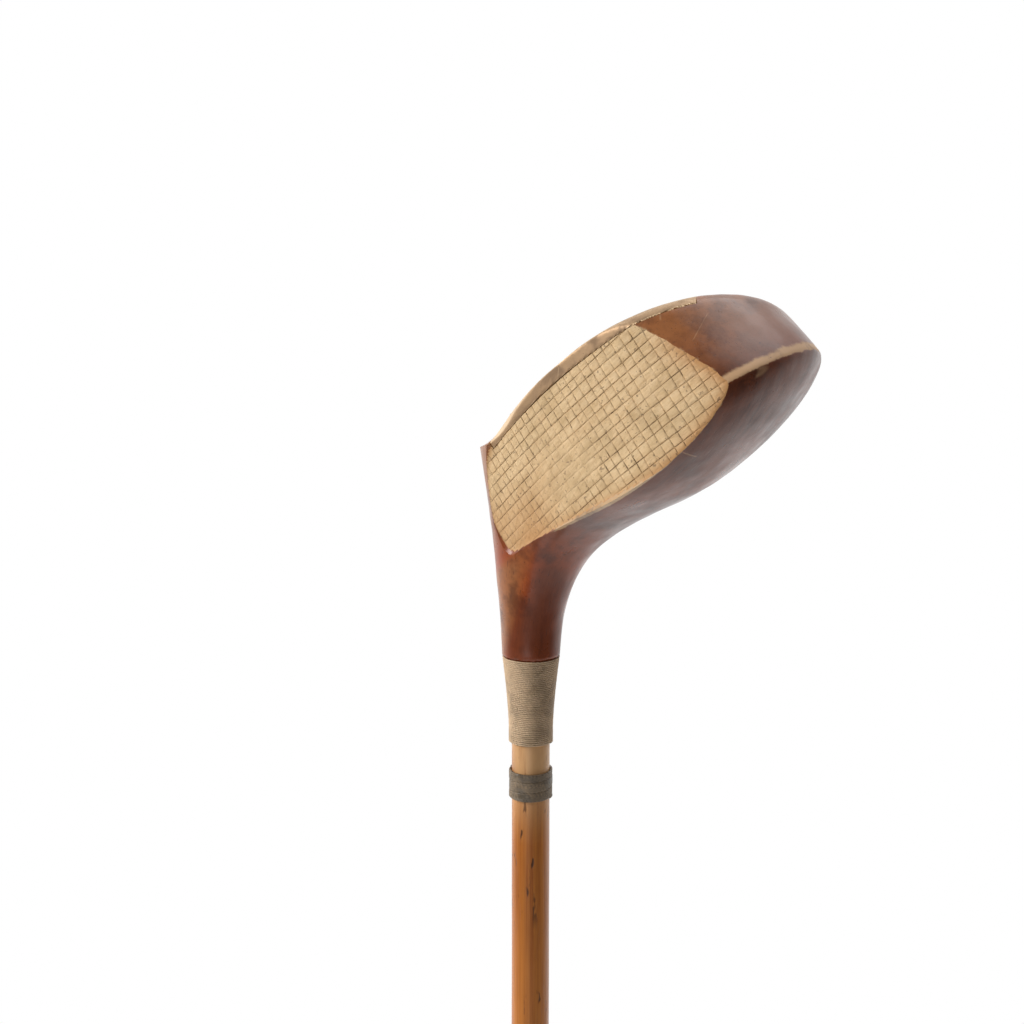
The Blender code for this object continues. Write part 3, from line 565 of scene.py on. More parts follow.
class Dresser:
    """Keeps one material of each finish."""

    def __init__(self) -> None:
        """Start with the shared effects and no materials."""
        self.effects = Effects()
        self._made: dict[str, bpy.types.Material] = {}

    def get(self, finish: object) -> bpy.types.Material:
        """Return the material of a finish, made the first time."""
        key = repr(finish)
        if key not in self._made:
            self._made[key] = finish.build(self.effects)
        return self._made[key]


# ================================================================ mesh building

def new_mesh(name: str, points: np.ndarray, faces: Iterable[Sequence[int]],
             sharp_degrees: float = 40.0) -> bpy.types.Mesh:
    """Make a smooth-shaded mesh.

    Args:
        name: the mesh's name.
        points: an array of points, one row each.
        faces: corner numbers of each face, turning left seen from outside.
        sharp_degrees: edges bent further than this stay sharp.

    Returns:
        The mesh.
    """
    mesh = bpy.data.meshes.new(name)
    mesh.from_pydata(np.asarray(points).tolist(), [], [list(f) for f in faces])
    mesh.validate()
    mesh.shade_smooth()
    mesh.set_sharp_from_angle(angle=math.radians(sharp_degrees))
    return mesh


def new_object(name: str, mesh: bpy.types.Mesh, matrix: Matrix | None = None) -> bpy.types.Object:
    """Link an object to the scene at a place."""
    obj = bpy.data.objects.new(name, mesh)
    bpy.context.scene.collection.objects.link(obj)
    if matrix is not None:
        obj.matrix_world = matrix
    return obj


def facing(aim: Vector, track: str = 'Z', up: str = 'Y') -> Matrix:
    """Return the turn that points an axis along a direction."""
    return aim.to_track_quat(track, up).to_matrix().to_4x4()


def points_of(mesh: bpy.types.Mesh) -> np.ndarray:
    """Return a mesh's points as an array."""
    flat = np.empty(len(mesh.vertices) * 3, dtype=np.float32)
    mesh.vertices.foreach_get("co", flat)
    return flat.reshape(-1, 3).astype(np.float64)


def store_mask(mesh: bpy.types.Mesh, name: str, values: np.ndarray) -> None:
    """Store one number for each of the mesh's points."""
    layer = mesh.attributes.new(name, 'FLOAT', 'POINT')
    layer.data.foreach_set("value", np.asarray(values, dtype=np.float32))


def store_vectors(mesh: bpy.types.Mesh, name: str, values: np.ndarray) -> None:
    """Store one vector for each of the mesh's points."""
    layer = mesh.attributes.new(name, 'FLOAT_VECTOR', 'POINT')
    layer.data.foreach_set("vector", np.asarray(values, dtype=np.float32).ravel())


def lathe(name: str, profile: Profile, sides: int, closed: bool = False) -> bpy.types.Mesh:
    """Turn a profile of (radius, height) points about Z.

    Args:
        name: the mesh's name.
        profile: the points, up the outer side; a closed profile is a ring's section.
        sides: facets round the turn.
        closed: whether the last point joins the first.

    Returns:
        The mesh.
    """
    bm = bmesh.new()
    turn = np.arange(sides) * 2 * math.pi / sides
    rings = []
    for radius, height in profile:
        if radius <= 0:
            rings.append([bm.verts.new((0.0, 0.0, height))])
        else:
            rings.append([bm.verts.new((radius * math.cos(a), radius * math.sin(a), height)) for a in turn])
    pairs = list(zip(rings, rings[1:]))
    if closed:
        pairs.append((rings[-1], rings[0]))
    for low, high in pairs:
        for i in range(sides):
            j = (i + 1) % sides
            corners = [low[i % len(low)], low[j % len(low)], high[j % len(high)], high[i % len(high)]]
            bm.faces.new(list(dict.fromkeys(corners)))
    bmesh.ops.recalc_face_normals(bm, faces=bm.faces)
    mesh = bpy.data.meshes.new(name)
    bm.to_mesh(mesh)
    bm.free()
    mesh.shade_smooth()
    mesh.set_sharp_from_angle(angle=math.radians(40))
    return mesh


def faceted(name: str, points: Sequence[Sequence[float]], faces: Iterable[Sequence[int]]) -> bpy.types.Mesh:
    """Make a plain mesh whose faces all turn outward.

    Args:
        name: the mesh's name.
        points: its points.
        faces: corner numbers of each face, in either turn.

    Returns:
        The mesh.
    """
    bm = bmesh.new()
    verts = [bm.verts.new(p) for p in points]
    for face in faces:
        bm.faces.new([verts[i] for i in face])
    bmesh.ops.recalc_face_normals(bm, faces=bm.faces)
    mesh = bpy.data.meshes.new(name)
    bm.to_mesh(mesh)
    bm.free()
    return mesh


def sheet(rows: int, columns: int) -> tuple[np.ndarray, np.ndarray]:
    """Join a grid of points into quads.

    Args:
        rows: how many rows of points.
        columns: how many points in a row.

    Returns:
        The corner numbers of the quads, and the points round the border in order.
    """
    number = np.arange(rows * columns).reshape(rows, columns)
    quads = np.stack((number[:-1, :-1], number[1:, :-1], number[1:, 1:], number[:-1, 1:]),
                     axis=-1).reshape(-1, 4)
    border = np.concatenate((number[:, 0], number[-1, 1:], number[-2::-1, -1], number[0, -2:0:-1]))
    return quads, border


def leave_bare(mesh: bpy.types.Mesh) -> None:
    """Give every face the second of its materials: the wood a tool lays bare."""
    mesh.polygons.foreach_set("material_index", np.ones(len(mesh.polygons), dtype=np.int32))


def tube(rows: np.ndarray) -> list[tuple[int, ...]]:
    """Return the faces of a closed tube of rows x columns points, capped at both ends."""
    count, around = rows.shape[:2]
    first = np.arange(count - 1)[:, None] * around + np.arange(around)[None, :]
    side = np.arange(count - 1)[:, None] * around + (np.arange(around)[None, :] + 1) % around
    quads = np.stack((first, side, side + around, first + around), axis=-1).reshape(-1, 4)
    faces = [tuple(q) for q in quads.tolist()]
    faces.append(tuple(range(around - 1, -1, -1)))
    faces.append(tuple(range((count - 1) * around, count * around)))
    return faces


def carve(obj: bpy.types.Object, cutters: Sequence[bpy.types.Object],
          operation: str = 'DIFFERENCE', sharp_degrees: float = 40.0) -> None:
    """Cut an object with others, which are then thrown away.

    Args:
        obj: the object that is cut; its mesh is replaced.
        cutters: the cutting objects, in order.
        operation: the Boolean operation.
        sharp_degrees: edges bent further than this stay sharp.
    """
    for cutter in cutters:
        step = obj.modifiers.new(cutter.name, 'BOOLEAN')
        step.operation = operation
        step.solver = 'EXACT'
        step.object = cutter
    bpy.context.view_layer.update()
    solved = obj.evaluated_get(bpy.context.evaluated_depsgraph_get())
    mesh = bpy.data.meshes.new_from_object(solved)
    obj.modifiers.clear()
    obj.data = mesh
    for cutter in cutters:
        bpy.data.objects.remove(cutter, do_unlink=True)
    mesh.shade_smooth()
    mesh.set_sharp_from_angle(angle=math.radians(sharp_degrees))


def gradient(distance: Field, points: np.ndarray, reach: float = 0.05 * MM) -> np.ndarray:
    """Return the slope of a distance field at points."""
    slope = np.empty_like(points)
    for axis in range(3):
        shift = np.zeros(3)
        shift[axis] = reach
        slope[:, axis] = (distance(points + shift) - distance(points - shift)) / (2 * reach)
    return slope


def settle(distance: Field, points: np.ndarray, rounds: int = 4) -> np.ndarray:
    """Move points onto the surface where a distance field is nought."""
    for _ in range(rounds):
        slope = gradient(distance, points)
        size = np.maximum((slope ** 2).sum(axis=1), 0.05)
        points = points - slope * (distance(points) / size)[:, None]
    return points


def surface_net(distance: Field, low: Sequence[float], high: Sequence[float],
                step: float) -> tuple[np.ndarray, np.ndarray]:
    """Lay a net of quads over the surface of a distance field.

    Args:
        distance: the field; it is negative inside.
        low: lowest corner of the space searched.
        high: highest corner.
        step: size of the search's cells.

    Returns:
        The net's points, and the corner numbers of its quads.
    """
    axes = [np.arange(a, b + step, step) for a, b in zip(low, high)]
    values = np.stack([
        distance(np.stack(np.meshgrid([x], axes[1], axes[2], indexing='ij'), axis=-1).reshape(-1, 3))
        .reshape(len(axes[1]), len(axes[2])) for x in axes[0]])
    inside = values < 0
    shape = np.array(values.shape)
    spots, owners, quads = [], [], []
    for axis in range(3):
        u, v = (axis + 1) % 3, (axis + 2) % 3
        lower = [slice(None)] * 3
        upper = [slice(None)] * 3
        lower[axis], upper[axis] = slice(None, -1), slice(1, None)
        index = np.argwhere(inside[tuple(lower)] != inside[tuple(upper)])
        a = values[tuple(lower)][tuple(index.T)]
        b = values[tuple(upper)][tuple(index.T)]
        spot = index.astype(float)
        spot[:, axis] += a / (a - b)
        around = []
        for du, dv in ((-1, -1), (0, -1), (0, 0), (-1, 0)):
            cell = index.copy()
            cell[:, u] += du
            cell[:, v] += dv
            around.append(np.ravel_multi_index(cell.T, shape))
            spots.append(spot)
            owners.append(around[-1])
        ring = np.stack(around, axis=1)
        quads.append(np.where((a < 0)[:, None], ring, ring[:, ::-1]))
    names, numbers = np.unique(np.concatenate(owners), return_inverse=True)
    spots = np.concatenate(spots)
    count = np.bincount(numbers)
    points = np.stack([np.bincount(numbers, weights=spots[:, c]) / count for c in range(3)], axis=1)
    points = points * step + np.array([axis[0] for axis in axes])
    return points, np.searchsorted(names, np.concatenate(quads))


def relax(distance: Field, points: np.ndarray, quads: np.ndarray, rounds: int = 3) -> np.ndarray:
    """Even out a net's points along its surface."""
    ends = np.concatenate((quads, np.roll(quads, -1, axis=1)), axis=0).reshape(-1)
    other = np.concatenate((np.roll(quads, -1, axis=1), quads), axis=0).reshape(-1)
    degree = np.bincount(ends, minlength=len(points))[:, None]
    points = settle(distance, points)
    for _ in range(rounds):
        mean = np.stack([np.bincount(ends, weights=points[other, c], minlength=len(points))
                         for c in range(3)], axis=1) / degree
        points = settle(distance, points + 0.6 * (mean - points), 2)
    return points


def smooth_max(a: np.ndarray, b: np.ndarray, radius: float) -> np.ndarray:
    """Return the larger of two distances, rounded off where they are about equal."""
    share = np.clip(0.5 + 0.5 * (a - b) / radius, 0.0, 1.0)
    return a * share + b * (1 - share) + radius * share * (1 - share)


def ripple(points: np.ndarray, wave: float, seed: int, waves: int = 14) -> np.ndarray:
    """Return smooth random numbers about nought, near 1 at most, over points in 3-D."""
    rng = np.random.default_rng(SEED + seed)
    total = np.zeros(len(points))
    for _ in range(waves):
        aim = rng.normal(size=3)
        aim *= 2 * math.pi / (wave * rng.uniform(0.7, 1.6)) / np.linalg.norm(aim)
        total += np.sin(points @ aim + rng.uniform(0, 2 * math.pi))
    return total / math.sqrt(waves)


# ================================================================ the head's shape

@dataclass(frozen=True)
class HeadShape:
    """Sizes of the carved head in its own frame, and distances outside its surfaces."""

    lie: float = math.radians(52.2)
    loft: float = math.radians(5.9)
    centre: tuple[float, float] = (36.5 * MM, -17.3 * MM)
    half_length: float = 46.2 * MM
    half_depth: float = 41.3 * MM
    rim_height: float = 31.6 * MM
    rim_rise_to_toe: float = 0.065
    rim_rise_to_face: float = 0.16
    crown_height: float = 15.0 * MM
    crown_power: float = 1.61
    skirt_lean: float = 0.15
    skirt_round: float = 1.2 * MM
    sole_drop: float = -2.4 * MM
    sole_rise_to_toe: float = 0.028
    sole_radius_long: float = 300.0 * MM
    sole_radius_across: float = 220.0 * MM
    sole_lowest_y: float = 10.6 * MM
    sole_round: float = 6.0 * MM
    neck_blend: float = 31.9 * MM
    neck_radius: float = 9.2 * MM
    neck_spread: float = 0.056
    neck_start: float = 6.0 * MM
    neck_shoulder: float = 69.0 * MM
    neck_end: float = 93.0 * MM
    neck_end_radius: float = 6.1 * MM
    seat_radius: float = 8.2 * MM
    seat_power: float = 1.5
    seat_overlap: float = 3.0 * MM
    shoulder_round: float = 0.3 * MM
    face_forward: float = 17.0 * MM
    face_bulge_radius: float = 283.0 * MM
    face_crest_x: float = 18.0 * MM
    heel_centre: tuple[float, float] = (5.0 * MM, 24.0 * MM)
    heel_radius: float = 23.5 * MM
    heel_crown: float = 33.6 * MM
    heel_crown_rise: float = 0.205
    heel_foot: float = 2.5 * MM
    heel_corner: float = 4.0 * MM
    heel_round: float = 3.0 * MM
    heel_level_x: float = -14.0 * MM
    heel_slope_x: float = -10.0 * MM
    heel_lift: float = 2.0 * MM
    heel_slope: float = 0.1
    heel_release: float = 0.5

    @property
    def down(self) -> np.ndarray:
        """Unit vector down the shaft, toward the grip."""
        tilt = math.pi / 2 - self.lie
        return np.array((-math.sin(tilt), 0.0, math.cos(tilt)))

    def sole_height(self, x: np.ndarray, y: np.ndarray) -> np.ndarray:
        """Return the height of the sole, which curves both ways."""
        along = (x - self.face_crest_x) ** 2 / (2 * self.sole_radius_long)
        across = (y - self.sole_lowest_y) ** 2 / (2 * self.sole_radius_across)
        return self.sole_drop + self.sole_rise_to_toe * x + along + across

    def walls(self, points: np.ndarray) -> tuple[np.ndarray, np.ndarray]:
        """Return the distances outside the crown's dome and outside the leaning skirt."""
        x, y, z = points.T
        rim = self.rim_height + self.rim_rise_to_toe * x + self.rim_rise_to_face * (y - self.face_forward)
        plan = np.hypot((x - self.centre[0]) / self.half_length, (y - self.centre[1]) / self.half_depth)
        lift = np.clip((z - rim) / self.crown_height, 0.0, None)
        power = self.crown_power
        reach = np.maximum((plan ** power + lift ** power) ** (1 / power), 1e-6)
        mean_half = (self.half_length + self.half_depth) / 2
        slope_up = np.where(lift > 0, (lift / reach) ** (power - 1), 0.0) / self.crown_height
        slope_out = (plan / reach) ** (power - 1) / mean_half
        crown = (reach - 1) / np.sqrt(slope_up ** 2 + slope_out ** 2 + 1e-9)
        lean = self.skirt_lean * (rim - z)
        skirt = ((plan - 1) * mean_half + lean) / math.hypot(1.0, self.skirt_lean)
        return crown, skirt

    def neck(self, points: np.ndarray) -> np.ndarray:
        """Return the distance outside the neck's cone, which follows the shaft's axis."""
        down = points @ self.down
        radial = np.linalg.norm(points - down[:, None] * self.down, axis=1)
        radius = self.neck_radius + self.neck_spread * np.clip(self.neck_shoulder - down, 0.0, None)
        return np.maximum(radial - radius, self.neck_start - down)

    def blank(self, points: np.ndarray) -> np.ndarray:
        """Return the distance outside the block before its face is cut."""
        crown, skirt = self.walls(points)
        sole = self.sole_height(points[:, 0], points[:, 1]) - points[:, 2]
        body = smooth_max(smooth_max(crown, skirt, self.skirt_round), sole, self.sole_round)
        return -smooth_max(-body, -self.neck(points), self.neck_blend)

    def seat_radius_at(self, down: np.ndarray) -> np.ndarray:
        """Return the neck's radius under the whipping."""
        left = np.clip((self.neck_end - down) / (self.neck_end - self.neck_shoulder), 0.0, None)
        return self.neck_end_radius + (self.seat_radius - self.neck_end_radius) * left ** self.seat_power

    def block(self, points: np.ndarray) -> np.ndarray:
        """Return the distance outside the block with its neck stepped in for the whipping."""
        down = points @ self.down
        radial = np.linalg.norm(points - down[:, None] * self.down, axis=1)
        trimmed = smooth_max(self.blank(points), self.heel_front(points), self.heel_round)
        cut = smooth_max(trimmed, down - self.neck_shoulder, self.shoulder_round)
        seat = np.maximum(radial - self.seat_radius_at(down), down - self.neck_end)
        seat = np.maximum(seat, self.neck_shoulder - self.seat_overlap - down)
        return np.minimum(cut, seat)

    def face_y(self, x: np.ndarray, z: np.ndarray) -> np.ndarray:
        """Return how far forward the striking face lies."""
        bulge = (x - self.face_crest_x) ** 2 / (2 * self.face_bulge_radius)
        return (self.face_forward - bulge - math.sin(self.loft) * z) / math.cos(self.loft)

    def heel_edge(self, x: np.ndarray, z: np.ndarray) -> np.ndarray:
        """Return the distance outside the face's rounded end beside the neck."""
        cx, cz = self.heel_centre
        arc = np.hypot(np.minimum(x - cx, 0.0), np.minimum(z - cz, 0.0)) - self.heel_radius
        foot = np.maximum(cx - self.heel_foot - x, z - cz)
        crown = (z - self.heel_crown - self.heel_crown_rise * x) / math.hypot(1.0, self.heel_crown_rise)
        return smooth_max(np.minimum(arc, foot), crown, self.heel_corner)

    def heel_front(self, points: np.ndarray) -> np.ndarray:
        """Return the distance ahead of the soft slope that joins the face to the neck."""
        x, y, z = points.T
        outside = np.clip(self.heel_edge(x, z), 0.0, None)
        plane = self.face_y(np.maximum(x, self.heel_level_x), z)
        toward_toe = np.clip(x - self.heel_slope_x, 0.0, None)
        return y - plane - self.heel_lift - self.heel_slope * outside - self.heel_release * toward_toe

    def spine(self, count: int = 60) -> np.ndarray:
        """Return points along the wood's grain, from the neck's end round to the toe."""
        start, bend = self.down * self.neck_end, self.down * (self.neck_shoulder * 0.3)
        end = np.array((self.centre[0] + self.half_length, self.centre[1], 17 * MM))
        turn = np.array((self.centre[0] - 0.6 * self.half_length, self.centre[1], 17 * MM))
        t = np.linspace(0.0, 1.0, count)[:, None]
        u = 1 - t
        return u ** 3 * start + 3 * u * u * t * bend + 3 * u * t * t * turn + t ** 3 * end

    def grain_trace(self, points: np.ndarray) -> np.ndarray:
        """Return coordinates that run with the grain: along it, and twice across it."""
        spine = self.spine()
        steps = np.diff(spine, axis=0)
        lengths = np.linalg.norm(steps, axis=1)
        run = np.concatenate(([0.0], np.cumsum(lengths)))
        best = np.full(len(points), np.inf)
        trace = np.zeros((len(points), 3))
        for i, step in enumerate(steps):
            along = step / lengths[i]
            away = points - spine[i]
            share = np.clip(away @ along, 0.0, lengths[i])
            off = away - share[:, None] * along
            gap = np.linalg.norm(off, axis=1)
            side = np.cross(along, (0.0, 1.0, 0.0))
            near = gap < best
            best = np.where(near, gap, best)
            found = np.stack((run[i] + share, points[:, 1], off @ side), axis=1)
            trace[near] = found[near]
        return trace


@dataclass(frozen=True)
class Scoring:
    """The hand-cut grid on the face: its spacing, its cuts and how much they are worn."""

    shape: HeadShape
    first_x: float = -20.0 * MM
    heel_pitch: float = 2.5 * MM
    pitch_growth: float = 0.0235 * MM
    first_z: float = 2.2 * MM
    row_pitch: float = 3.05 * MM
    columns: int = 34
    rows: int = 15
    tilt: float = math.radians(-2.0)
    wobble: float = 0.19 * MM
    cut_half_width: float = 0.21 * MM
    cut_depth: float = 0.24 * MM
    pillow: float = 0.06 * MM
    roll_width: float = 0.9 * MM
    roll_depth: float = 0.22 * MM
    shoulder_slope: float = 0.9
    shoulder_soft: float = 0.5 * MM
    reach: float = 40.0 * MM

    def _waver(self, u: np.ndarray, v: np.ndarray, kind: int) -> np.ndarray:
        """Return how far a cut strays: each line strays in its own way."""
        rng = np.random.default_rng(SEED + 40 + kind)
        quick, slow = (u, v) if kind == 0 else (v, u)
        total = np.zeros(np.broadcast(u, v).shape)
        for _ in range(6):
            across, along = rng.uniform(1.9, 3.1), rng.uniform(0.12, 0.5)
            total = total + np.sin(quick * across + slow * along + rng.uniform(0, 2 * math.pi))
        return self.wobble * total / math.sqrt(6)

    def place(self, u: np.ndarray, v: np.ndarray) -> tuple[np.ndarray, np.ndarray]:
        """Return x and z of a spot counted in columns and rows of the grid."""
        a = self.first_x + self.heel_pitch * u + 0.5 * self.pitch_growth * u * u + self._waver(u, v, 0)
        b = self.first_z + self.row_pitch * v + self._waver(u, v, 1)
        level = math.tan(self.tilt) * self.shape.face_crest_x
        return (a * math.cos(self.tilt) + b * math.sin(self.tilt),
                b * math.cos(self.tilt) - a * math.sin(self.tilt) + level)

    def count(self, x: np.ndarray, z: np.ndarray) -> tuple[np.ndarray, np.ndarray]:
        """Return the column and row count of a spot given by x and z."""
        z = z - math.tan(self.tilt) * self.shape.face_crest_x
        a = x * math.cos(self.tilt) - z * math.sin(self.tilt)
        b = z * math.cos(self.tilt) + x * math.sin(self.tilt)
        u, v = np.zeros_like(a), np.zeros_like(b)
        for _ in range(6):
            along = a - self.first_x - self._waver(u, v, 0)
            root = np.sqrt(np.maximum(self.heel_pitch ** 2 + 2 * self.pitch_growth * along, 1e-9))
            u, v = ((root - self.heel_pitch) / self.pitch_growth,
                    (b - self.first_z - self._waver(u, v, 1)) / self.row_pitch)
        return u, v

    def keep(self, x: np.ndarray, z: np.ndarray) -> np.ndarray:
        """Return how much of the cuts' depth is left: least in the worn middle."""
        middle = np.exp(-((x - 14 * MM) / (27 * MM)) ** 2 - ((z - 23 * MM) / (11 * MM)) ** 2)
        patches = ripple(np.stack((x, z, 0 * x), axis=1), 11 * MM, 3)
        return np.clip(1.0 - 0.72 * middle + 0.24 * patches, 0.15, 1.25)

    def cuts(self, x: np.ndarray, z: np.ndarray) -> tuple[np.ndarray, np.ndarray]:
        """Return the share of a cut's depth at each spot, and how dark its dirt is."""
        u, v = self.count(x, z)
        pitch = self.heel_pitch + self.pitch_growth * u
        from_column = np.abs(u - np.round(u)) * pitch
        from_row = np.abs(v - np.round(v)) * self.row_pitch
        keep = self.keep(x, z)
        heaviness = 0.8 + 0.2 * np.sin(np.round(u) * 7.3 + np.round(v) * 2.1)
        column = np.clip(1 - from_column / self.cut_half_width, 0.0, 1.0) * keep * heaviness
        row = np.clip(1 - from_row / self.cut_half_width, 0.0, 1.0) * np.clip(keep + 0.12, 0, 1)
        return np.maximum(column, row), np.maximum(column, row * 0.9)

    def face_depth(self, x: np.ndarray, z: np.ndarray) -> np.ndarray:
        """Return how far below the plain face the finished surface lies."""
        cut, _ = self.cuts(x, z)
        u, v = self.count(x, z)
        edge = np.maximum(np.abs(u - np.round(u)), np.abs(v - np.round(v))) * 2
        rounded = self.pillow * (1 - edge) ** 3
        plane = np.stack((x, self.shape.face_y(x, z), z), axis=1)
        inset = -self.shape.blank(plane)
        roll = self.roll_depth * np.clip(1 - inset / self.roll_width, 0.0, 1.6) ** 2
        dents = 0.035 * MM * ripple(plane, 5 * MM, 5) + 0.02 * MM * ripple(plane, 1.6 * MM, 6)
        heel = self.shape.heel_edge(x, z)
        inner = np.clip(-heel / (0.8 * MM), 0.0, 1.0)
        within = np.clip(inset / (0.9 * MM), 0.25, 1.0)
        return self.cut_depth * cut * inner * within + (rounded + roll + dents) * inner

    def tool(self) -> bpy.types.Mesh:
        """Return the solid that cuts the face, its cuts and the shoulder beside the neck."""
        def lines(count: int, pitch: float) -> np.ndarray:
            """Return the grid's line places: close together over each cut, wider between."""
            half = self.cut_half_width / pitch
            offsets = np.concatenate((np.array((-1.0, -0.45, 0.0, 0.45, 1.0)) * half,
                                      np.linspace(half, 1 - half, 6)[1:-1]))
            fine = (np.arange(-1, count)[:, None] + offsets[None, :]).ravel()
            return np.concatenate(([-12.0, -5.0], fine, [count + 4.0]))

        us = lines(self.columns, self.heel_pitch * 1.15)
        vs = lines(self.rows, self.row_pitch)
        u, v = (grid.ravel() for grid in np.meshgrid(us, vs, indexing='ij'))
        x, z = self.place(u, v)
        heel = self.shape.heel_edge(x, z)
        soft = self.shoulder_soft
        ramp = self.shoulder_slope * soft * np.logaddexp(0.0, heel / soft * 2.0) / 2.0
        y = self.shape.face_y(x, z) - self.face_depth(x, z) + ramp
        grid = np.stack((x, y, z), axis=1)
        nu, nv = len(us), len(vs)
        quads, loop = sheet(nu, nv)
        front = grid[loop].copy()
        front[:, 1] = self.shape.face_forward + self.reach
        base, size = nu * nv, len(loop)
        following = (np.arange(size) + 1) % size
        sides = np.stack((loop[following], loop, base + np.arange(size), base + following), axis=1)
        faces = quads.tolist() + sides.tolist() + [list(range(base + size - 1, base - 1, -1))]
        mesh = new_mesh("face_tool", np.concatenate((grid, front)), faces)
        bare = np.zeros(len(mesh.polygons), dtype=np.int32)
        middle = grid[quads].mean(axis=1)
        bare[:len(quads)] = self.shape.heel_edge(middle[:, 0], middle[:, 2]) < 0.1 * MM
        mesh.polygons.foreach_set("material_index", bare)
        return mesh


# ================================================================ the head and its fittings

def add_piece(name: str, mesh: bpy.types.Mesh, finish: bpy.types.Material, slot: str,
              *stands_for: str, matrix: Matrix | None = None) -> bpy.types.Object:
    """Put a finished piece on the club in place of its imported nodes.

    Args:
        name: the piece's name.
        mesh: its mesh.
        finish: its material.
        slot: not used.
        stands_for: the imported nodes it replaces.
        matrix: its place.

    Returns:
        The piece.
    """
    obj = new_object(name, mesh, matrix)
    return dress_piece(obj, (finish,), slot, *stands_for)


def dress_piece(obj: bpy.types.Object, finishes: Sequence[bpy.types.Material], slot: str,
                *stands_for: str) -> bpy.types.Object:
    """Give an object its materials, its body and the nodes it replaces."""
    if len(obj.data.materials) == len(finishes):
        for index, finish in enumerate(finishes):
            obj.data.materials[index] = finish
    else:
        obj.data.materials.clear()
        for finish in finishes:
            obj.data.materials.append(finish)
    obj.data.transform(obj.matrix_world)
    obj.matrix_world = Matrix.Identity(4)
    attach(obj, BODY)
    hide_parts(*stands_for)
    LOG.info("%s: %d faces, %s", obj.name, len(obj.data.polygons), finishes[0].name)
    return obj


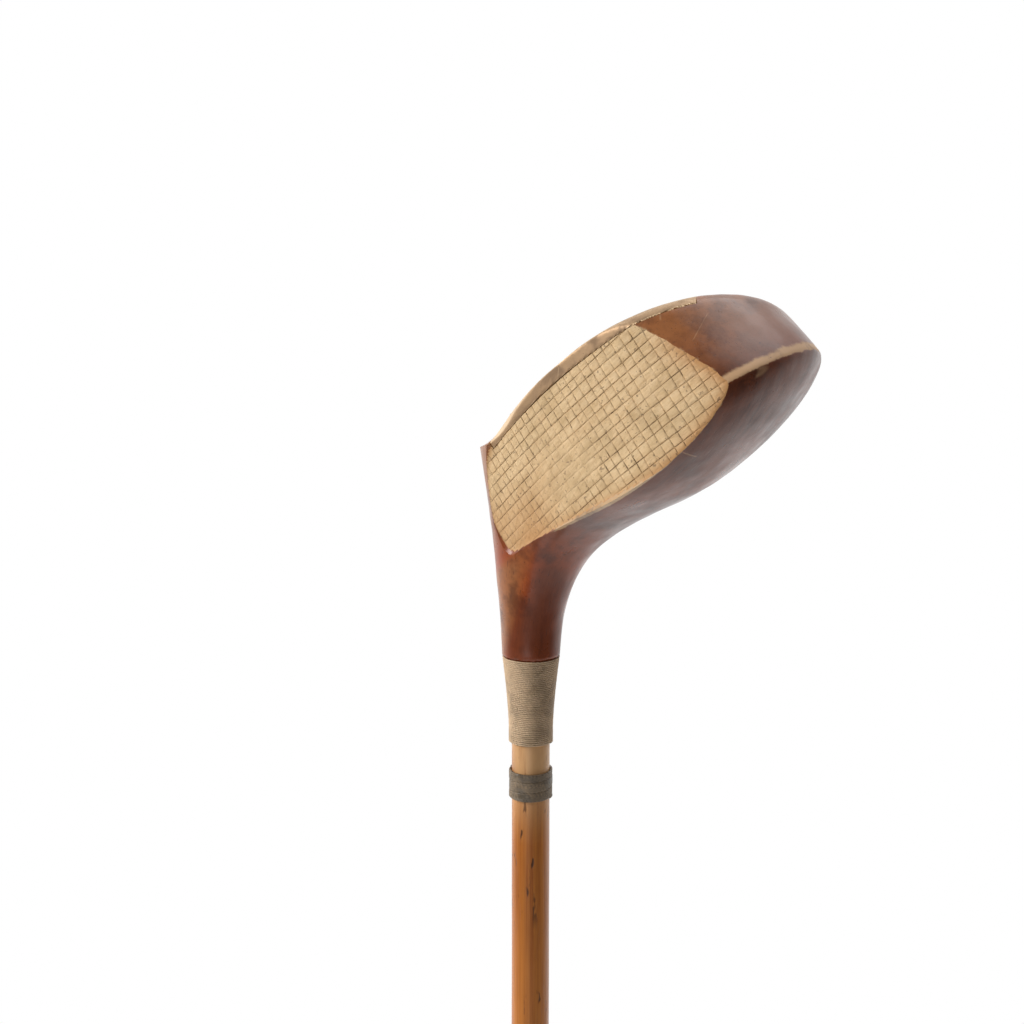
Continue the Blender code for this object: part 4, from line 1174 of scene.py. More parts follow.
@dataclass
class ClubHead:
    """The carved block with its sole plate, screws and lead."""

    dresser: Dresser
    shape: HeadShape = field(default_factory=HeadShape)
    gap: float = 0.12 * MM
    net_step: float = 0.95 * MM
    plate_step: float = 0.5 * MM
    lead_step: float = 0.5 * MM
    plate_thickness: float = 4.3 * MM
    plate_heel_x: float = -1.5 * MM
    plate_toe_x: float = 74.0 * MM
    plate_front_y: float = 24.0 * MM
    plate_depth: float = 42.0 * MM
    plate_corner: tuple[float, float] = (21.0 * MM, 24.0 * MM)
    plate_edge: float = 0.2 * MM
    screw_radius: float = 3.4 * MM
    screw_shank: float = 1.7 * MM
    screw_cone: float = 2.0 * MM
    screw_length: float = 15.0 * MM
    screw_point: float = 3.0 * MM
    screw_sink: float = 0.25 * MM
    slot_width: float = 0.8 * MM
    slot_depth: float = 0.9 * MM
    screw_places: tuple[tuple[float, float], ...] = (
        (8.0 * MM, 8.5 * MM), (34.0 * MM, 8.5 * MM), (51.0 * MM, 4.5 * MM),
        (20.0 * MM, -10.0 * MM), (46.0 * MM, -10.0 * MM))
    lead_radius: float = 6.5 * MM
    lead_depth: float = 11.0 * MM
    lead_place: tuple[float, float] = (33.0 * MM, -5.5 * MM)
    back_length: float = 40.0 * MM
    back_height: float = 10.0 * MM
    back_depth: float = 14.0 * MM
    back_rise: float = 18.0 * MM
    bore_radii: tuple[float, float] = (5.35 * MM, 4.05 * MM)
    bore_tip: float = 11.8 * MM

    def __post_init__(self) -> None:
        """Find the head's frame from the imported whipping, which ends at the neck's shoulder."""
        self.scoring = Scoring(self.shape)
        tilt = math.pi / 2 - self.shape.lie
        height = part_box("neck_whipping")[1].z + self.shape.neck_shoulder + 0.3 * MM
        toe = Vector((math.cos(tilt), 0.0, math.sin(tilt)))
        forward = Vector((0.0, -1.0, 0.0))
        crown = toe.cross(forward)
        turn = Matrix((toe, forward, crown)).transposed().to_4x4()
        self.matrix = Matrix.Translation((0.0, 0.0, height)) @ turn
        self.height = height

    def build(self) -> None:
        """Make every piece of the head."""
        block = self._block()
        plate = self._plate()
        self._sole_lead_pocket(block)
        self._screws(block, plate)
        self._mark_block(block.data)
        finish = self.dresser.get
        dress_piece(block, (finish(VarnishedWood()), finish(BareFace())), "head_wood", "head")
        self._mark_metal(plate.data, self._plate_distance, 0.4 * MM)
        dress_piece(plate, (finish(Metal.PLATE.value),), "brass", "sole_plate")
        self._back_weight()

    # ---- block

    def _block(self) -> bpy.types.Object:
        """Carve the block: its scored face, the plate's seat, the back's pocket and the socket."""
        shape = self.shape
        low, high = (-78 * MM, -70 * MM, -14 * MM), (94 * MM, 42 * MM, 90 * MM)
        points, quads = surface_net(shape.block, low, high, self.net_step)
        points = relax(shape.block, points, quads)
        points = points + self._hand_work(points)
        block = new_object("driver_head", new_mesh("driver_head", points, quads.tolist()), self.matrix)
        tools = [self.scoring.tool(), self._plate_seat(), self._back_pocket(), self._bore()]
        for mesh in (block.data, *tools):
            mesh.materials.append(self.dresser.get(VarnishedWood()))
            mesh.materials.append(self.dresser.get(BareFace()))
        carve(block, [new_object(mesh.name, mesh, self.matrix) for mesh in tools])
        return block

    def _hand_work(self, points: np.ndarray) -> np.ndarray:
        """Return small shifts that stand for the carver's rasp and later knocks."""
        normal = gradient(self.shape.block, points)
        normal /= np.maximum(np.linalg.norm(normal, axis=1), 1e-6)[:, None]
        waves = 0.10 * MM * ripple(points, 24 * MM, 11) + 0.03 * MM * ripple(points, 7 * MM, 12)
        quiet = np.clip((self.shape.neck_shoulder - points @ self.shape.down) / (8 * MM), 0.0, 1.0)
        return normal * (np.minimum(waves, 0.12 * MM) * quiet)[:, None]

    def _plate_outline(self, points: np.ndarray) -> np.ndarray:
        """Return the distance outside the plate's outline in plan."""
        x, y = points[:, 0], points[:, 1]
        a, b = self.plate_corner
        rear = self.plate_front_y - self.plate_depth
        across = np.clip(np.maximum(self.plate_heel_x + a - x, x - self.plate_toe_x + a), 0.0, None)
        along = np.clip(rear + b - y, 0.0, None)
        reach = np.maximum(np.hypot(across / a, along / b), 1e-6)
        slope = np.hypot(across / a ** 2, along / b ** 2) / reach
        return np.where(slope > 0, (reach - 1) / np.maximum(slope, 1e-6), -a)

    def _plate_inner(self, points: np.ndarray) -> np.ndarray:
        """Return the distance above the plate's inner side."""
        lifted = 0.28 * MM * np.exp(-((points[:, 0] - 26 * MM) / (17 * MM)) ** 2)
        inner = self.shape.sole_height(points[:, 0], points[:, 1]) + self.plate_thickness
        return points[:, 2] - inner + lifted

    def _plate_distance(self, points: np.ndarray) -> np.ndarray:
        """Return the distance outside the sole plate."""
        face = points[:, 1] - self.shape.face_y(points[:, 0], points[:, 2])
        edge = self.plate_edge
        outer = smooth_max(self.shape.blank(points), face, edge * 2)
        outer = smooth_max(outer, self._plate_inner(points), edge)
        return smooth_max(outer, self._plate_outline(points), edge)

    def _plate(self) -> bpy.types.Object:
        """Make the sole plate, its edges softened by wear."""
        low, high = (-6 * MM, -24 * MM, -8 * MM), (80 * MM, 24 * MM, 14 * MM)
        points, quads = surface_net(self._plate_distance, low, high, self.plate_step)
        points = relax(self._plate_distance, points, quads, 2)
        dents = 0.05 * MM * ripple(points, 13 * MM, 21)
        points = points + dents[:, None] * gradient(self._plate_distance, points)
        mesh = new_mesh("sole_plate_brass", points, quads.tolist())
        return new_object("sole_plate_brass", mesh, self.matrix)

    def _plate_seat(self) -> bpy.types.Mesh:
        """Return the space cut from the block for the plate."""
        grow = self.gap
        a, b = self.plate_corner[0] + grow, self.plate_corner[1] + grow
        left, right = self.plate_heel_x - grow, self.plate_toe_x + grow
        rear, front = self.plate_front_y - self.plate_depth - grow, self.plate_front_y + grow
        xs = np.unique(np.concatenate((left + a * (1 - np.cos(np.linspace(0.02, math.pi / 2, 14))),
                                       np.linspace(left + a, right - a, 12),
                                       right - a * (1 - np.cos(np.linspace(0.02, math.pi / 2, 14))))))
        away = np.clip(np.maximum(left + a - xs, xs - right + a) / a, 0.0, 1.0)
        backs = rear + b - b * np.sqrt(1 - away ** 2)
        share = np.linspace(0.0, 1.0, 14)
        x = np.repeat(xs[:, None], len(share), axis=1)
        y = backs[:, None] + (front - backs)[:, None] * share[None, :]
        top = self.shape.sole_height(x, y) + self.plate_thickness + grow
        upper = np.stack((x, y, top), axis=-1).reshape(-1, 3)
        lower = upper.copy()
        lower[:, 2] = self.shape.sole_drop - 12 * MM
        count, rows = x.shape
        quads, loop = sheet(count, rows)
        after = np.roll(loop, -1)
        total = count * rows
        sides = np.stack((after, loop, loop + total, after + total), axis=1)
        faces = quads.tolist() + (quads[:, ::-1] + total).tolist() + sides.tolist()
        mesh = new_mesh("plate_seat", np.concatenate((upper, lower)), faces)
        leave_bare(mesh)
        return mesh

    def _bore(self) -> bpy.types.Mesh:
        """Return the tapered socket for the shaft's spigot."""
        wide, slim = self.bore_radii
        end = self.shape.neck_end
        mesh = lathe("socket_bore", [(0.0, self.bore_tip), (slim, self.bore_tip), (wide, end),
                                     (wide, end + 5 * MM), (0.0, end + 5 * MM)], 48)
        mesh.transform(facing(Vector(self.shape.down)))
        leave_bare(mesh)
        return mesh

    def _mark_block(self, mesh: bpy.types.Mesh) -> None:
        """Store what the head's finishes read: grain, wear, a band along the crown's crease that is partly
        wear and partly a painted highlight, fading, cuts and the face's border.
        """
        points = points_of(mesh)
        shape = self.shape
        x, y, z = points.T
        crown, skirt = shape.walls(points)
        toward_toe = np.clip((x - 55 * MM) / (30 * MM), 0.0, 1.0)
        on_body = np.clip((x + 4 * MM) / (14 * MM), 0.0, 1.0)
        width = 0.16 * MM + 0.22 * MM * toward_toe
        # Band along the crease between crown and skirt: partly rubbed wear, partly a painted highlight.
        ridge = np.exp(-((crown - skirt) / width) ** 2) * on_body
        behind = shape.face_y(x, z) - y
        rim = np.exp(-np.clip(behind, 0.0, None) / (0.45 * MM))
        wall = np.clip((skirt - crown) / (3 * MM), 0.0, 1.0)
        near_face = np.exp(-np.clip(behind, 0.0, None) / (26 * MM))
        _, dirt = self.scoring.cuts(x, z)
        on_face = (np.abs(behind) < 0.7 * MM) & (shape.heel_edge(x, z) < 0.3 * MM)
        plane = np.stack((x, shape.face_y(x, z), z), axis=1)
        inset = -shape.blank(plane)
        above = np.clip((z - 10 * MM) / (12 * MM), 0.0, 1.0)
        border = np.exp(-np.clip(inset, 0.0, None) / (1.7 * MM)) * above
        border = np.maximum(border, np.exp(shape.heel_edge(x, z) / (0.9 * MM)) * 0.8)
        store_vectors(mesh, "grain", shape.grain_trace(points))
        store_mask(mesh, "ridge", ridge)
        store_mask(mesh, "rim", rim * on_body)
        store_mask(mesh, "fade", np.clip(wall * (0.35 + 0.65 * near_face), 0.0, 1.0))
        store_mask(mesh, "score", np.where(on_face, dirt, 0.0))
        store_mask(mesh, "neck", np.clip((points @ shape.down - 24 * MM) / (22 * MM), 0.0, 1.0))
        store_mask(mesh, "border", np.clip(border, 0.0, 1.0))

    @staticmethod
    def _mark_metal(mesh: bpy.types.Mesh, distance: Field, width: float) -> None:
        """Store where metal is rubbed: on its outward edges."""
        points = points_of(mesh)
        outside = gradient(distance, points, width)
        sharp = 1 - np.linalg.norm(outside, axis=1)
        store_mask(mesh, "rubbed", np.clip(sharp * 2.2, 0.0, 1.0))

    # ---- screws and lead

    def _sole_frame(self, x: float, y: float) -> Matrix:
        """Return a frame on the block's underside, its Z pointing into the head."""
        step = 1 * MM
        spots = np.array(((x, y), (x - step, y), (x + step, y), (x, y - step), (x, y + step)))
        points = np.column_stack((spots, np.full(len(spots), self.shape.rim_height / 2)))
        for _ in range(140):
            points[:, 2] += 0.7 * self.shape.blank(points)
        height = points[:, 2]
        slopes = (height[2] - height[1]) / (2 * step), (height[4] - height[3]) / (2 * step)
        inward = Vector((-slopes[0], -slopes[1], 1.0)).normalized()
        return Matrix.Translation((x, y, height[0])) @ facing(inward, 'Z', 'X')

    def _screw_profile(self, grow: float, above: float) -> Profile:
        """Return a countersunk screw's profile, from its slightly domed head to its point."""
        head, shank, base = self.screw_radius + grow, self.screw_shank + grow, self.screw_sink - grow
        if above > 0:
            top = [(0.0, base - above), (head, base - above)]
        else:
            top = [(head * math.sin(a), base - 0.22 * MM * math.cos(a)) for a in np.linspace(0, 1.35, 7)]
        return top + [(head, base + 0.12 * MM), (shank, self.screw_sink + self.screw_cone + grow / 2),
                      (shank, self.screw_sink + self.screw_length - self.screw_point),
                      (0.0, self.screw_sink + self.screw_length + grow * 1.5)]

    def _screws(self, block: bpy.types.Object, plate: bpy.types.Object) -> None:
        """Drill the plate and the block, and set the slotted screws."""
        holes_block, holes_plate = [], []
        for number, (x, y) in enumerate(self.screw_places, start=1):
            place = self._sole_frame(x, y) @ Matrix.Rotation(math.radians(37 * number), 4, 'Z')
            hole = lathe(f"screw_hole_{number}", self._screw_profile(self.gap, 3 * MM), 40)
            hole.transform(place)
            holes_plate.append(new_object(f"plate_hole_{number}", hole, self.matrix))
            holes_block.append(new_object(f"block_hole_{number}", hole.copy(), self.matrix))
            screw = new_object(f"plate_screw_{number}", lathe(
                f"plate_screw_{number}", self._screw_profile(0.0, 0.0), 40), self.matrix @ place)
            carve(screw, [self._slot_cutter(self.matrix @ place)], sharp_degrees=30)
            self._mark_screw(screw.data)
            dress_piece(screw, (self.dresser.get(Metal.SCREW.value),), "screw_brass", f"sole_screw_{number}")
        carve(block, holes_block)
        carve(plate, holes_plate)

    def _slot_cutter(self, matrix: Matrix) -> bpy.types.Object:
        """Return the cutter for a screw's slot, its floor slightly rounded."""
        half, depth = self.slot_width / 2, self.slot_depth
        section = [(-half, -2 * MM), (half, -2 * MM), (half, depth * 0.85), (half * 0.5, depth),
                   (-half * 0.5, depth), (-half, depth * 0.85)]
        reach = self.screw_radius * 1.4
        points = [(end, y, z) for end in (-reach, reach) for y, z in section]
        count = len(section)
        faces = [tuple(range(count - 1, -1, -1)), tuple(range(count, 2 * count))]
        faces += [(i, (i + 1) % count, (i + 1) % count + count, i + count) for i in range(count)]
        return new_object("slot_cutter", faceted("slot_cutter", points, faces), matrix)

    def _mark_screw(self, mesh: bpy.types.Mesh) -> None:
        """Store where a screw's head is rubbed."""
        points = points_of(mesh)
        radial = np.hypot(points[:, 0], points[:, 1])
        rubbed = 0.25 + 0.3 * radial / self.screw_radius
        store_mask(mesh, "rubbed", np.where(points[:, 2] < 0.6 * MM, rubbed, 0))

    def _sole_lead_pocket(self, block: bpy.types.Object) -> None:
        """Bore the pocket for the lead plug that lies under the plate."""
        radius = self.lead_radius + self.gap
        top = self.plate_thickness + self.lead_depth + 0.8 * MM
        pocket = lathe("lead_pocket", [(0.0, 0.0), (radius, 0.0), (radius, top), (0.0, top)], 48)
        pocket.transform(self._sole_frame(*self.lead_place))
        carve(block, [new_object("lead_pocket", pocket, self.matrix)])

    def _back_slot(self, points: np.ndarray, grow: float) -> np.ndarray:
        """Return the distance outside the back weight's pocket."""
        radius = self.back_height / 2 + grow
        half = self.back_length / 2 - self.back_height / 2
        x = np.abs(points[:, 0] - self.shape.centre[0]) - half
        z = points[:, 2] - self.back_rise
        around = np.hypot(np.maximum(x, 0.0), z) - radius
        inner = self.shape.centre[1] - self.shape.half_depth + self.back_depth + grow
        return np.maximum(around, points[:, 1] - inner)

    def _back_pocket(self) -> bpy.types.Mesh:
        """Return the space cut from the block's back for its lead."""
        radius, grow = self.back_height / 2 + self.gap, self.gap
        half = self.back_length / 2 - self.back_height / 2
        inner = self.shape.centre[1] - self.shape.half_depth + self.back_depth + grow
        outer = self.shape.centre[1] - self.shape.half_depth - 12 * MM
        ring = []
        for side in (1, -1):
            for turn in np.linspace(-math.pi / 2, math.pi / 2, 17):
                ring.append((self.shape.centre[0] + side * (half + radius * math.cos(turn)),
                             self.back_rise + side * radius * math.sin(turn)))
        points = [(x, y, z) for y in (inner, outer) for x, z in ring]
        count = len(ring)
        faces = [tuple(range(count)), tuple(range(2 * count - 1, count - 1, -1))]
        faces += [((i + 1) % count, i, i + count, (i + 1) % count + count) for i in range(count)]
        mesh = faceted("back_pocket", points, faces)
        leave_bare(mesh)
        return mesh

    def _back_distance(self, points: np.ndarray) -> np.ndarray:
        """Return the distance outside the back weight."""
        return smooth_max(self.shape.blank(points) + 0.15 * MM, self._back_slot(points, 0.0), 0.5 * MM)

    def _back_weight(self) -> None:
        """Make the lead run into the block's back, hammered level with the wood."""
        x, y = self.shape.centre[0], self.shape.centre[1] - self.shape.half_depth
        low = (x - 24 * MM, y - 4 * MM, self.back_rise - 8 * MM)
        high = (x + 24 * MM, y + 18 * MM, self.back_rise + 8 * MM)
        points, quads = surface_net(self._back_distance, low, high, self.lead_step)
        points = relax(self._back_distance, points, quads, 2)
        hammered = 0.09 * MM * ripple(points, 5.5 * MM, 31) - 0.05 * MM
        points = points + hammered[:, None] * gradient(self._back_distance, points)
        mesh = new_mesh("back_lead", points, quads.tolist())
        self._mark_metal(mesh, self._back_distance, 0.5 * MM)
        add_piece("back_lead", mesh, self.dresser.get(Metal.LEAD.value), "lead", "back_weight",
                  matrix=self.matrix)


# ================================================================ shaft, windings and grip

@dataclass(frozen=True)
class ShaftShape:
    """The hickory shaft's sizes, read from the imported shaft."""

    neck_radius: float = 6.12 * MM
    butt_radius: float = 7.9 * MM
    taper_power: float = 1.4
    spigot_entry: float = 5.2 * MM
    spigot_slim: float = 3.9 * MM
    spigot_length: float = 81.0 * MM
    shoulder_gap: float = 0.3 * MM

    @property
    def tip(self) -> float:
        """Height of the spigot's tip."""
        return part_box("shaft")[1].z

    @property
    def shoulder(self) -> float:
        """Height where the spigot starts."""
        return self.tip - self.spigot_length - self.shoulder_gap

    def radius(self, z: np.ndarray) -> np.ndarray:
        """Return the bare shaft's radius at a height."""
        top = self.shoulder + self.shoulder_gap
        left = np.clip(top - z, 0.0, None) / top
        return self.neck_radius + (self.butt_radius - self.neck_radius) * left ** self.taper_power


@dataclass
class Shaft:
    """The hickory shaft: a long taper, slightly uneven, with a spigot for the socket."""

    dresser: Dresser
    shape: ShaftShape = field(default_factory=ShaftShape)
    sides: int = 72
    rings: int = 190
    unevenness: float = 0.05 * MM
    butt_round: float = 0.6 * MM
    bare_from: float = 118.0 * MM
    tack_heights: tuple[float, ...] = ()
    pin_radius: float = 0.75 * MM
    pin_reach: float = 3.2 * MM

    def build(self) -> None:
        """Make the shaft."""
        shape = self.shape
        heights = np.concatenate(((0.0, 0.15 * MM, 0.35 * MM), np.linspace(self.butt_round, shape.shoulder,
                                                                         self.rings)))
        radii = shape.radius(heights)
        ease = np.clip(1 - heights / self.butt_round, 0.0, 1.0)
        radii = radii - self.butt_round * (1 - np.sqrt(1 - ease ** 2))
        profile = [(0.0, 0.0)] + list(zip(radii, heights))
        profile += [(shape.spigot_entry, shape.shoulder), (shape.spigot_slim, shape.tip), (0.0, shape.tip)]
        mesh = lathe("hickory_shaft", profile, self.sides)
        points = points_of(mesh)
        free = (points[:, 2] < shape.shoulder - MM) & (points[:, 2] > MM)
        swell = self.unevenness * ripple(points * np.array((1.0, 1.0, 0.18)), 9 * MM, 51)
        radial = np.hypot(points[:, 0], points[:, 1])
        scale = np.where(free, 1 - np.abs(swell) / np.maximum(radial, MM), 1.0)
        points[:, :2] *= scale[:, None]
        mesh.vertices.foreach_set("co", points.astype(np.float32).ravel())
        store_mask(mesh, "bare", self._bareness(points[:, 2]))
        shaft = new_object("hickory_shaft", mesh)
        pins = []
        for height in self.tack_heights:
            start = shape.radius(np.array(height)) - 4.8 * MM
            hole = lathe("tack_hole", [(0.0, start), (self.pin_radius, start), (self.pin_radius, 12 * MM),
                                       (0.0, 12 * MM)], 20)
            place = Matrix.Translation((0, 0, height)) @ facing(Vector((0, 1, 0)), 'Z', 'X')
            pins.append(new_object("tack_hole", hole, place))
        if pins:
            carve(shaft, pins)
        dress_piece(shaft, (self.dresser.get(Hickory()),), "hickory", "shaft")

    def _bareness(self, z: np.ndarray) -> np.ndarray:
        """Return how bare the wood is: clean between the whipping and the binding."""
        down = self.shape.shoulder - z
        return np.clip(1 - (down - 13 * MM) / (22 * MM), 0.0, 1.0) * 0.85


@dataclass
class Winding:
    """Thread wound round and round in close turns."""

    name: str
    node: str
    slot: str
    finish: WaxedThread
    low: float
    high: float
    radius_at: Field
    pitch: float = 0.62 * MM
    thickness: float = 0.72 * MM
    around: int = 6
    segments: int = 56
    unevenness: float = 0.035 * MM
    squareness: float = 2.0
    seed: int = 70

    def build(self, dresser: Dresser) -> bpy.types.Object:
        """Wind the thread and dress it.

        Args:
            dresser: gives the finish.

        Returns:
            The winding.
        """
        half_width = self.pitch / 2
        turns = (self.high - self.low + 2 * half_width) / self.pitch
        count = int(turns * self.segments) + 1
        turned = np.linspace(0.05, turns - 0.05, count)
        angle = 2 * math.pi * turned
        line = np.stack((np.cos(angle), np.sin(angle), turned), axis=1)
        waver = ripple(line * np.array((1.0, 1.0, 1.4)), 1.6, self.seed)
        swell = ripple(line * np.array((1.0, 1.0, 1.4)), 1.3, self.seed + 1)
        ends = np.clip(np.minimum(turned, turns - turned) * 2.0, 0.0, 1.0)
        height = self.low - half_width + self.pitch * turned + self.unevenness * 0.5 * waver * ends
        base = self.radius_at(np.clip(height, self.low, self.high)) + self.thickness / 2
        base = base + np.clip(self.unevenness * swell, -self.unevenness * 1.5, 0.0)
        phase = np.arange(self.around) * 2 * math.pi / self.around
        power = 2.0 / self.squareness
        out = np.sign(np.cos(phase)) * np.abs(np.cos(phase)) ** power * self.thickness / 2
        up = np.sign(np.sin(phase)) * np.abs(np.sin(phase)) ** power * (half_width - 0.004 * MM)
        radius = base[:, None] + out[None, :]
        levels = np.clip(height[:, None] + up[None, :], self.low, self.high)
        rows = np.stack((radius * np.cos(angle)[:, None], radius * np.sin(angle)[:, None], levels), axis=-1)
        mesh = new_mesh(self.name, rows.reshape(-1, 3), tube(rows), 60)
        run = np.concatenate(([0.0], np.cumsum(np.linalg.norm(np.diff(rows[:, 0], axis=0), axis=1))))
        store_vectors(mesh, "run", np.stack((
            np.repeat(run, self.around), np.tile(phase / (2 * math.pi), count),
            np.repeat(turned, self.around)), axis=1))
        return add_piece(self.name, mesh, dresser.get(self.finish), self.slot, self.node)


@dataclass
class Grip:
    """A strip of leather wound over cloth, whipped at both ends and tacked."""

    dresser: Dresser
    shaft: ShaftShape
    start: float = 0.6 * MM
    length: float = 290.0 * MM
    gap: float = 0.3 * MM
    listing: float = 1.0 * MM
    leather: float = 0.95 * MM
    lap: float = 3.2 * MM
    pitch: float = 23.0 * MM
    skive: float = 0.3 * MM
    around: int = 72
    skin: float = 1.5 * MM
    skin_limit: float = 1.48 * MM
    whipping_inset: float = 4.0 * MM
    whipping_length: float = 12.0 * MM
    tack_inset: float = 24.0 * MM
    tack_radius: float = 2.4 * MM
    tack_height: float = 0.9 * MM
    tack_pin: float = 0.6 * MM
    tack_depth: float = 4.5 * MM

    @property
    def tack_heights(self) -> tuple[float, float]:
        """Heights of the two tacks."""
        return self.start + self.tack_inset, self.start + self.length - self.tack_inset

    def inner(self, z: np.ndarray) -> np.ndarray:
        """Return the leather's inner radius at a height."""
        return self.shaft.radius(z) + 2 * self.gap + self.listing

    def build(self) -> None:
        """Make the leather, its whippings and its tacks."""
        self._strip()
        end = self.start + self.length
        low = self.start + self.whipping_inset
        black = Thread.BLACK.value
        Winding("butt_whipping", "grip_butt_whipping", "black_thread", black, low,
                low + self.whipping_length, lambda z: self.inner(z) + self.skin,
                seed=81).build(self.dresser)

        def over_end(z: np.ndarray) -> np.ndarray:
            """Return the radius under the top whipping, which runs off the leather's end."""
            share = np.clip((z - end + 0.4 * MM) / (1.5 * MM), 0.0, 1.0)
            share = share * share * (3 - 2 * share)
            return (self.inner(z) + self.skin) * (1 - share) + (self.shaft.radius(z) + self.gap) * share

        Winding("top_whipping", "grip_top_whipping", "black_thread", black, end - self.whipping_length,
                end + self.whipping_inset, over_end, seed=83).build(self.dresser)
        for name, node, height in zip(("butt_tack", "top_tack"), ("grip_tack_butt", "grip_tack_top"),
                                      self.tack_heights):
            self._tack(name, node, height)

    def _strip(self) -> None:
        """Wind one skived strip, each turn lapping the one before."""
        width = self.pitch + self.lap
        end = self.start + self.length
        turns = (self.length + width - 2 * MM) / self.pitch
        turned = np.arange(0.0, turns, 1 / self.around)
        foot = self.start - width + MM + self.pitch * turned
        low = np.maximum(self.start - foot, 0.0)
        high = np.minimum(end - foot, width)
        share = np.array((0.0, 0.04, 0.09, 0.14, 0.2, 0.3, 0.42, 0.55, 0.68, 0.78, 0.85, 0.9,
                          0.94, 0.97, 1.0))
        a = low[:, None] + (high - low)[:, None] * share[None, :]
        z = foot[:, None] + a
        angle = (2 * math.pi * turned)[:, None]
        spots = np.stack((np.cos(angle) * 8 * MM + 0 * a, np.sin(angle) * 8 * MM + 0 * a, z), axis=-1)
        puff = ripple(spots.reshape(-1, 3), 15 * MM, 91).reshape(a.shape)

        def full(b: np.ndarray) -> np.ndarray:
            """Return the strip's thickness at a distance from its skived edge."""
            rise = np.clip(b / (4 * MM), 0.0, 1.0)
            return self.skive + (self.leather - self.skive) * rise * (2 - rise)

        over = a - self.pitch
        lifted = np.clip((over + 2.2 * MM) / (2.2 * MM), 0.0, 1.0) * (self.skive + 0.05 * MM)
        lifted = np.where(over > 0, full(over) + 0.05 * MM, lifted)
        back_edge = np.clip((width - a) / (2.4 * MM), 0.0, 1.0)
        thick = np.minimum(full(a), self.skive * 1.15 + (self.leather - self.skive * 1.15) * back_edge)
        base = self.inner(z)
        inside = base + lifted
        outside = inside + thick + 0.02 * MM * puff
        outside = np.minimum(outside, base + self.skin_limit)
        section_r = np.concatenate((outside, inside[:, ::-1]), axis=1)
        section_z = np.concatenate((z, z[:, ::-1]), axis=1)
        rows = np.stack((section_r * np.cos(angle), section_r * np.sin(angle), section_z), axis=-1)
        faces = [face[::-1] for face in tube(rows)]
        mesh = new_mesh("leather_grip", rows.reshape(-1, 3), faces, 50)
        edge = np.exp(-(width - a) / (1.1 * MM))
        store_mask(mesh, "edge", np.concatenate((edge, 0 * edge), axis=1).ravel())
        add_piece("leather_grip", mesh, self.dresser.get(HandledLeather()), "leather", "grip_leather")

    def _tack(self, name: str, node: str, height: float) -> None:
        """Make a round-headed tack, driven in from the club's back."""
        z = np.array(height)
        skin = float(self.inner(z)) + self.skin
        point = float(self.shaft.radius(z)) - self.tack_depth
        dome = [(self.tack_radius * math.cos(t), skin + self.tack_height * math.sin(t))
                for t in np.linspace(0.0, math.pi / 2, 12)[:-1]]
        profile = [(0.0, point), (self.tack_pin, point + 1.2 * MM), (self.tack_pin, skin),
                   (self.tack_radius - 0.15 * MM, skin - 0.05 * MM)] + dome + [(0.0, skin + self.tack_height)]
        mesh = lathe(name, profile, 40)
        points = points_of(mesh)
        top = np.clip((points[:, 2] - skin) / self.tack_height, 0.0, 1.0)
        store_mask(mesh, "rubbed", 0.75 * top ** 2)
        place = Matrix.Translation((0, 0, height)) @ facing(Vector((0, 1, 0)), 'Z', 'X')
        add_piece(name, mesh, self.dresser.get(Metal.TACK.value), "tack_brass", node, matrix=place)


# ================================================================ carried-over pieces and studio

class KeptNodes:
    """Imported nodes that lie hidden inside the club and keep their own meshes."""

    def __init__(self, dresser: Dresser) -> None:
        """Remember where the finishes come from."""
        self.finishes = {"sole_lead": Metal.LEAD.value, "grip_underlisting": ListingCloth()}
        self.dresser = dresser

    def dress(self) -> None:
        """Give each kept node its finish."""
        for name, finish in self.finishes.items():
            node = bpy.data.objects[name]
            node.data.materials.clear()
            node.data.materials.append(self.dresser.get(finish))
            LOG.info("%s: kept, %s", name, node.data.materials[0].name)


@dataclass(frozen=True)
class SoftLight:
    """A large soft area light."""

    name: str
    place: tuple[float, float, float]
    aim: tuple[float, float, float]
    size: float
    power: float
    colour: Colour = (1.0, 1.0, 1.0)

    def add(self) -> None:
        """Hang the light."""
        data = bpy.data.lights.new(self.name, 'AREA')
        data.shape = 'DISK'
        data.size = self.size
        data.energy = self.power
        data.color = self.colour
        light = bpy.data.objects.new(self.name, data)
        bpy.context.scene.collection.objects.link(light)
        aim = Vector(self.aim) - Vector(self.place)
        light.matrix_world = Matrix.Translation(self.place) @ facing(aim, '-Z')


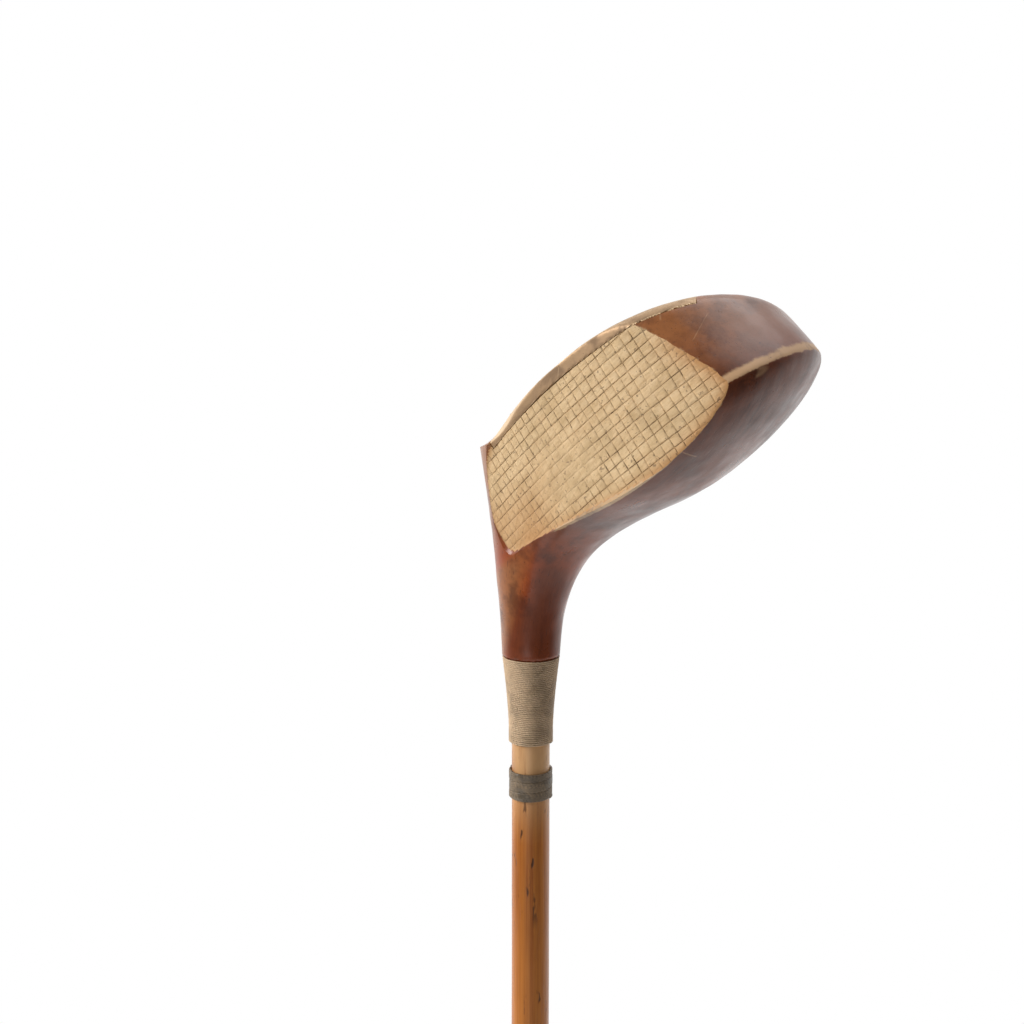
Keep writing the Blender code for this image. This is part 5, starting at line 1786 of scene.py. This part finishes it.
@dataclass
class Studio:
    """The pale floor, the soft lights and the camera."""

    head_height: float
    floor_size: float = 2.0
    floor_lines: int = 9
    eye: tuple[float, float, float] = (0.24413, -0.23366, 0.01609)
    azimuth: float = math.radians(47.28)
    dip: float = math.radians(6.65)
    lens: float = 38.16

    def build(self) -> None:
        """Set up the surroundings."""
        self._floor()
        self._surroundings()
        h = self.head_height
        for light in (
                SoftLight("key", (-1.0, -1.5, h + 0.9), (0.0, 0.0, h), 1.1, 46.0, (1.0, 0.985, 0.96)),
                SoftLight("fill", (0.9, -1.6, h - 0.25), (0.0, 0.0, h - 0.1), 1.2, 7.0),
                SoftLight("top", (0.3, 0.5, h + 1.6), (0.0, 0.0, h), 1.6, 20.0, (0.97, 0.985, 1.0))):
            light.add()
        self._camera()
        bpy.context.scene.view_settings.view_transform = 'Standard'

    def _floor(self) -> None:
        """Lay the floor."""
        half = self.floor_size / 2
        steps = np.linspace(-half, half, self.floor_lines)
        points = [(x, y, 0.0) for x in steps for y in steps]
        quads, _ = sheet(self.floor_lines, self.floor_lines)
        mesh = new_mesh("floor", np.array(points), quads.tolist())
        mesh.materials.append(PaleFloor().build())
        new_object("floor", mesh)

    @staticmethod
    def _surroundings() -> None:
        """Make the surroundings: white to the eye, and dimmer in gloss on the near side."""
        world = bpy.data.worlds.new("studio")
        bpy.context.scene.world = world
        world.use_nodes = True
        graph = Graph(world.node_tree)
        background = world.node_tree.nodes["Background"]
        coordinates = graph.add("ShaderNodeTexCoord")
        parts = graph.add("ShaderNodeSeparateXYZ")
        graph.put(parts.inputs[0], coordinates.outputs["Generated"])
        toward = graph.math('SUBTRACT', graph.math('MULTIPLY', parts.outputs[0], 0.68),
                            graph.math('MULTIPLY', parts.outputs[1], 0.73))
        lit = graph.span(toward, -0.6, 0.2, 1.25, 0.14)
        rays = graph.add("ShaderNodeLightPath")
        strength = graph.add("ShaderNodeMix", data_type='FLOAT')
        graph.put(strength.inputs["Factor"], rays.outputs["Is Camera Ray"])
        graph.put(strength.inputs[2], lit)
        strength.inputs[3].default_value = 1.0
        background.inputs["Color"].default_value = (1.0, 1.0, 1.0, 1.0)
        graph.put(background.inputs["Strength"], strength.outputs[0])

    def _camera(self) -> None:
        """Place the camera level with the head, looking slightly down."""
        data = bpy.data.cameras.new("camera")
        data.lens = self.lens
        data.sensor_width = 36.0
        data.clip_start = 0.01
        camera = bpy.data.objects.new("camera", data)
        bpy.context.scene.collection.objects.link(camera)
        away = Vector((-math.sin(self.azimuth) * math.cos(self.dip),
                       math.cos(self.azimuth) * math.cos(self.dip), -math.sin(self.dip)))
        eye = Vector(self.eye) + Vector((0.0, 0.0, self.head_height))
        camera.matrix_world = Matrix.Translation(eye) @ facing(away, '-Z')
        bpy.context.scene.camera = camera


def main() -> None:
    """Build the club, piece by piece, and its surroundings."""
    logging.basicConfig(level=logging.INFO, format="%(name)s %(message)s", force=True)
    dresser = Dresser()
    head = ClubHead(dresser)
    head.build()
    shaft_shape = ShaftShape()
    grip = Grip(dresser, shaft_shape)
    Shaft(dresser, shaft_shape, tack_heights=grip.tack_heights).build()

    low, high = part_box("neck_whipping")[0].z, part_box("neck_whipping")[1].z

    def over_neck(z: np.ndarray) -> np.ndarray:
        """Return the radius of the neck, or of the bare shaft below its end."""
        wood = head.shape.seat_radius_at(head.height - z)
        wood = np.where(head.height - z < head.shape.neck_end, wood, 0.0)
        return np.maximum(wood, shaft_shape.radius(z)) + 0.3 * MM

    Winding("neck_thread", "neck_whipping", "linen", Thread.LINEN.value, low, high, over_neck,
            segments=64, seed=61).build(dresser)
    low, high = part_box("shaft_binding")[0].z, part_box("shaft_binding")[1].z
    Winding("lower_binding", "shaft_binding", "dark_thread", Thread.PITCHED.value, low, high,
            lambda z: shaft_shape.radius(z) + 0.3 * MM, pitch=3.35 * MM, thickness=0.62 * MM,
            around=14, segments=72, squareness=4.5, unevenness=0.1 * MM, seed=65).build(dresser)
    grip.build()
    KeptNodes(dresser).dress()
    Studio(head.height).build()


if __name__ == "__main__":
    main()
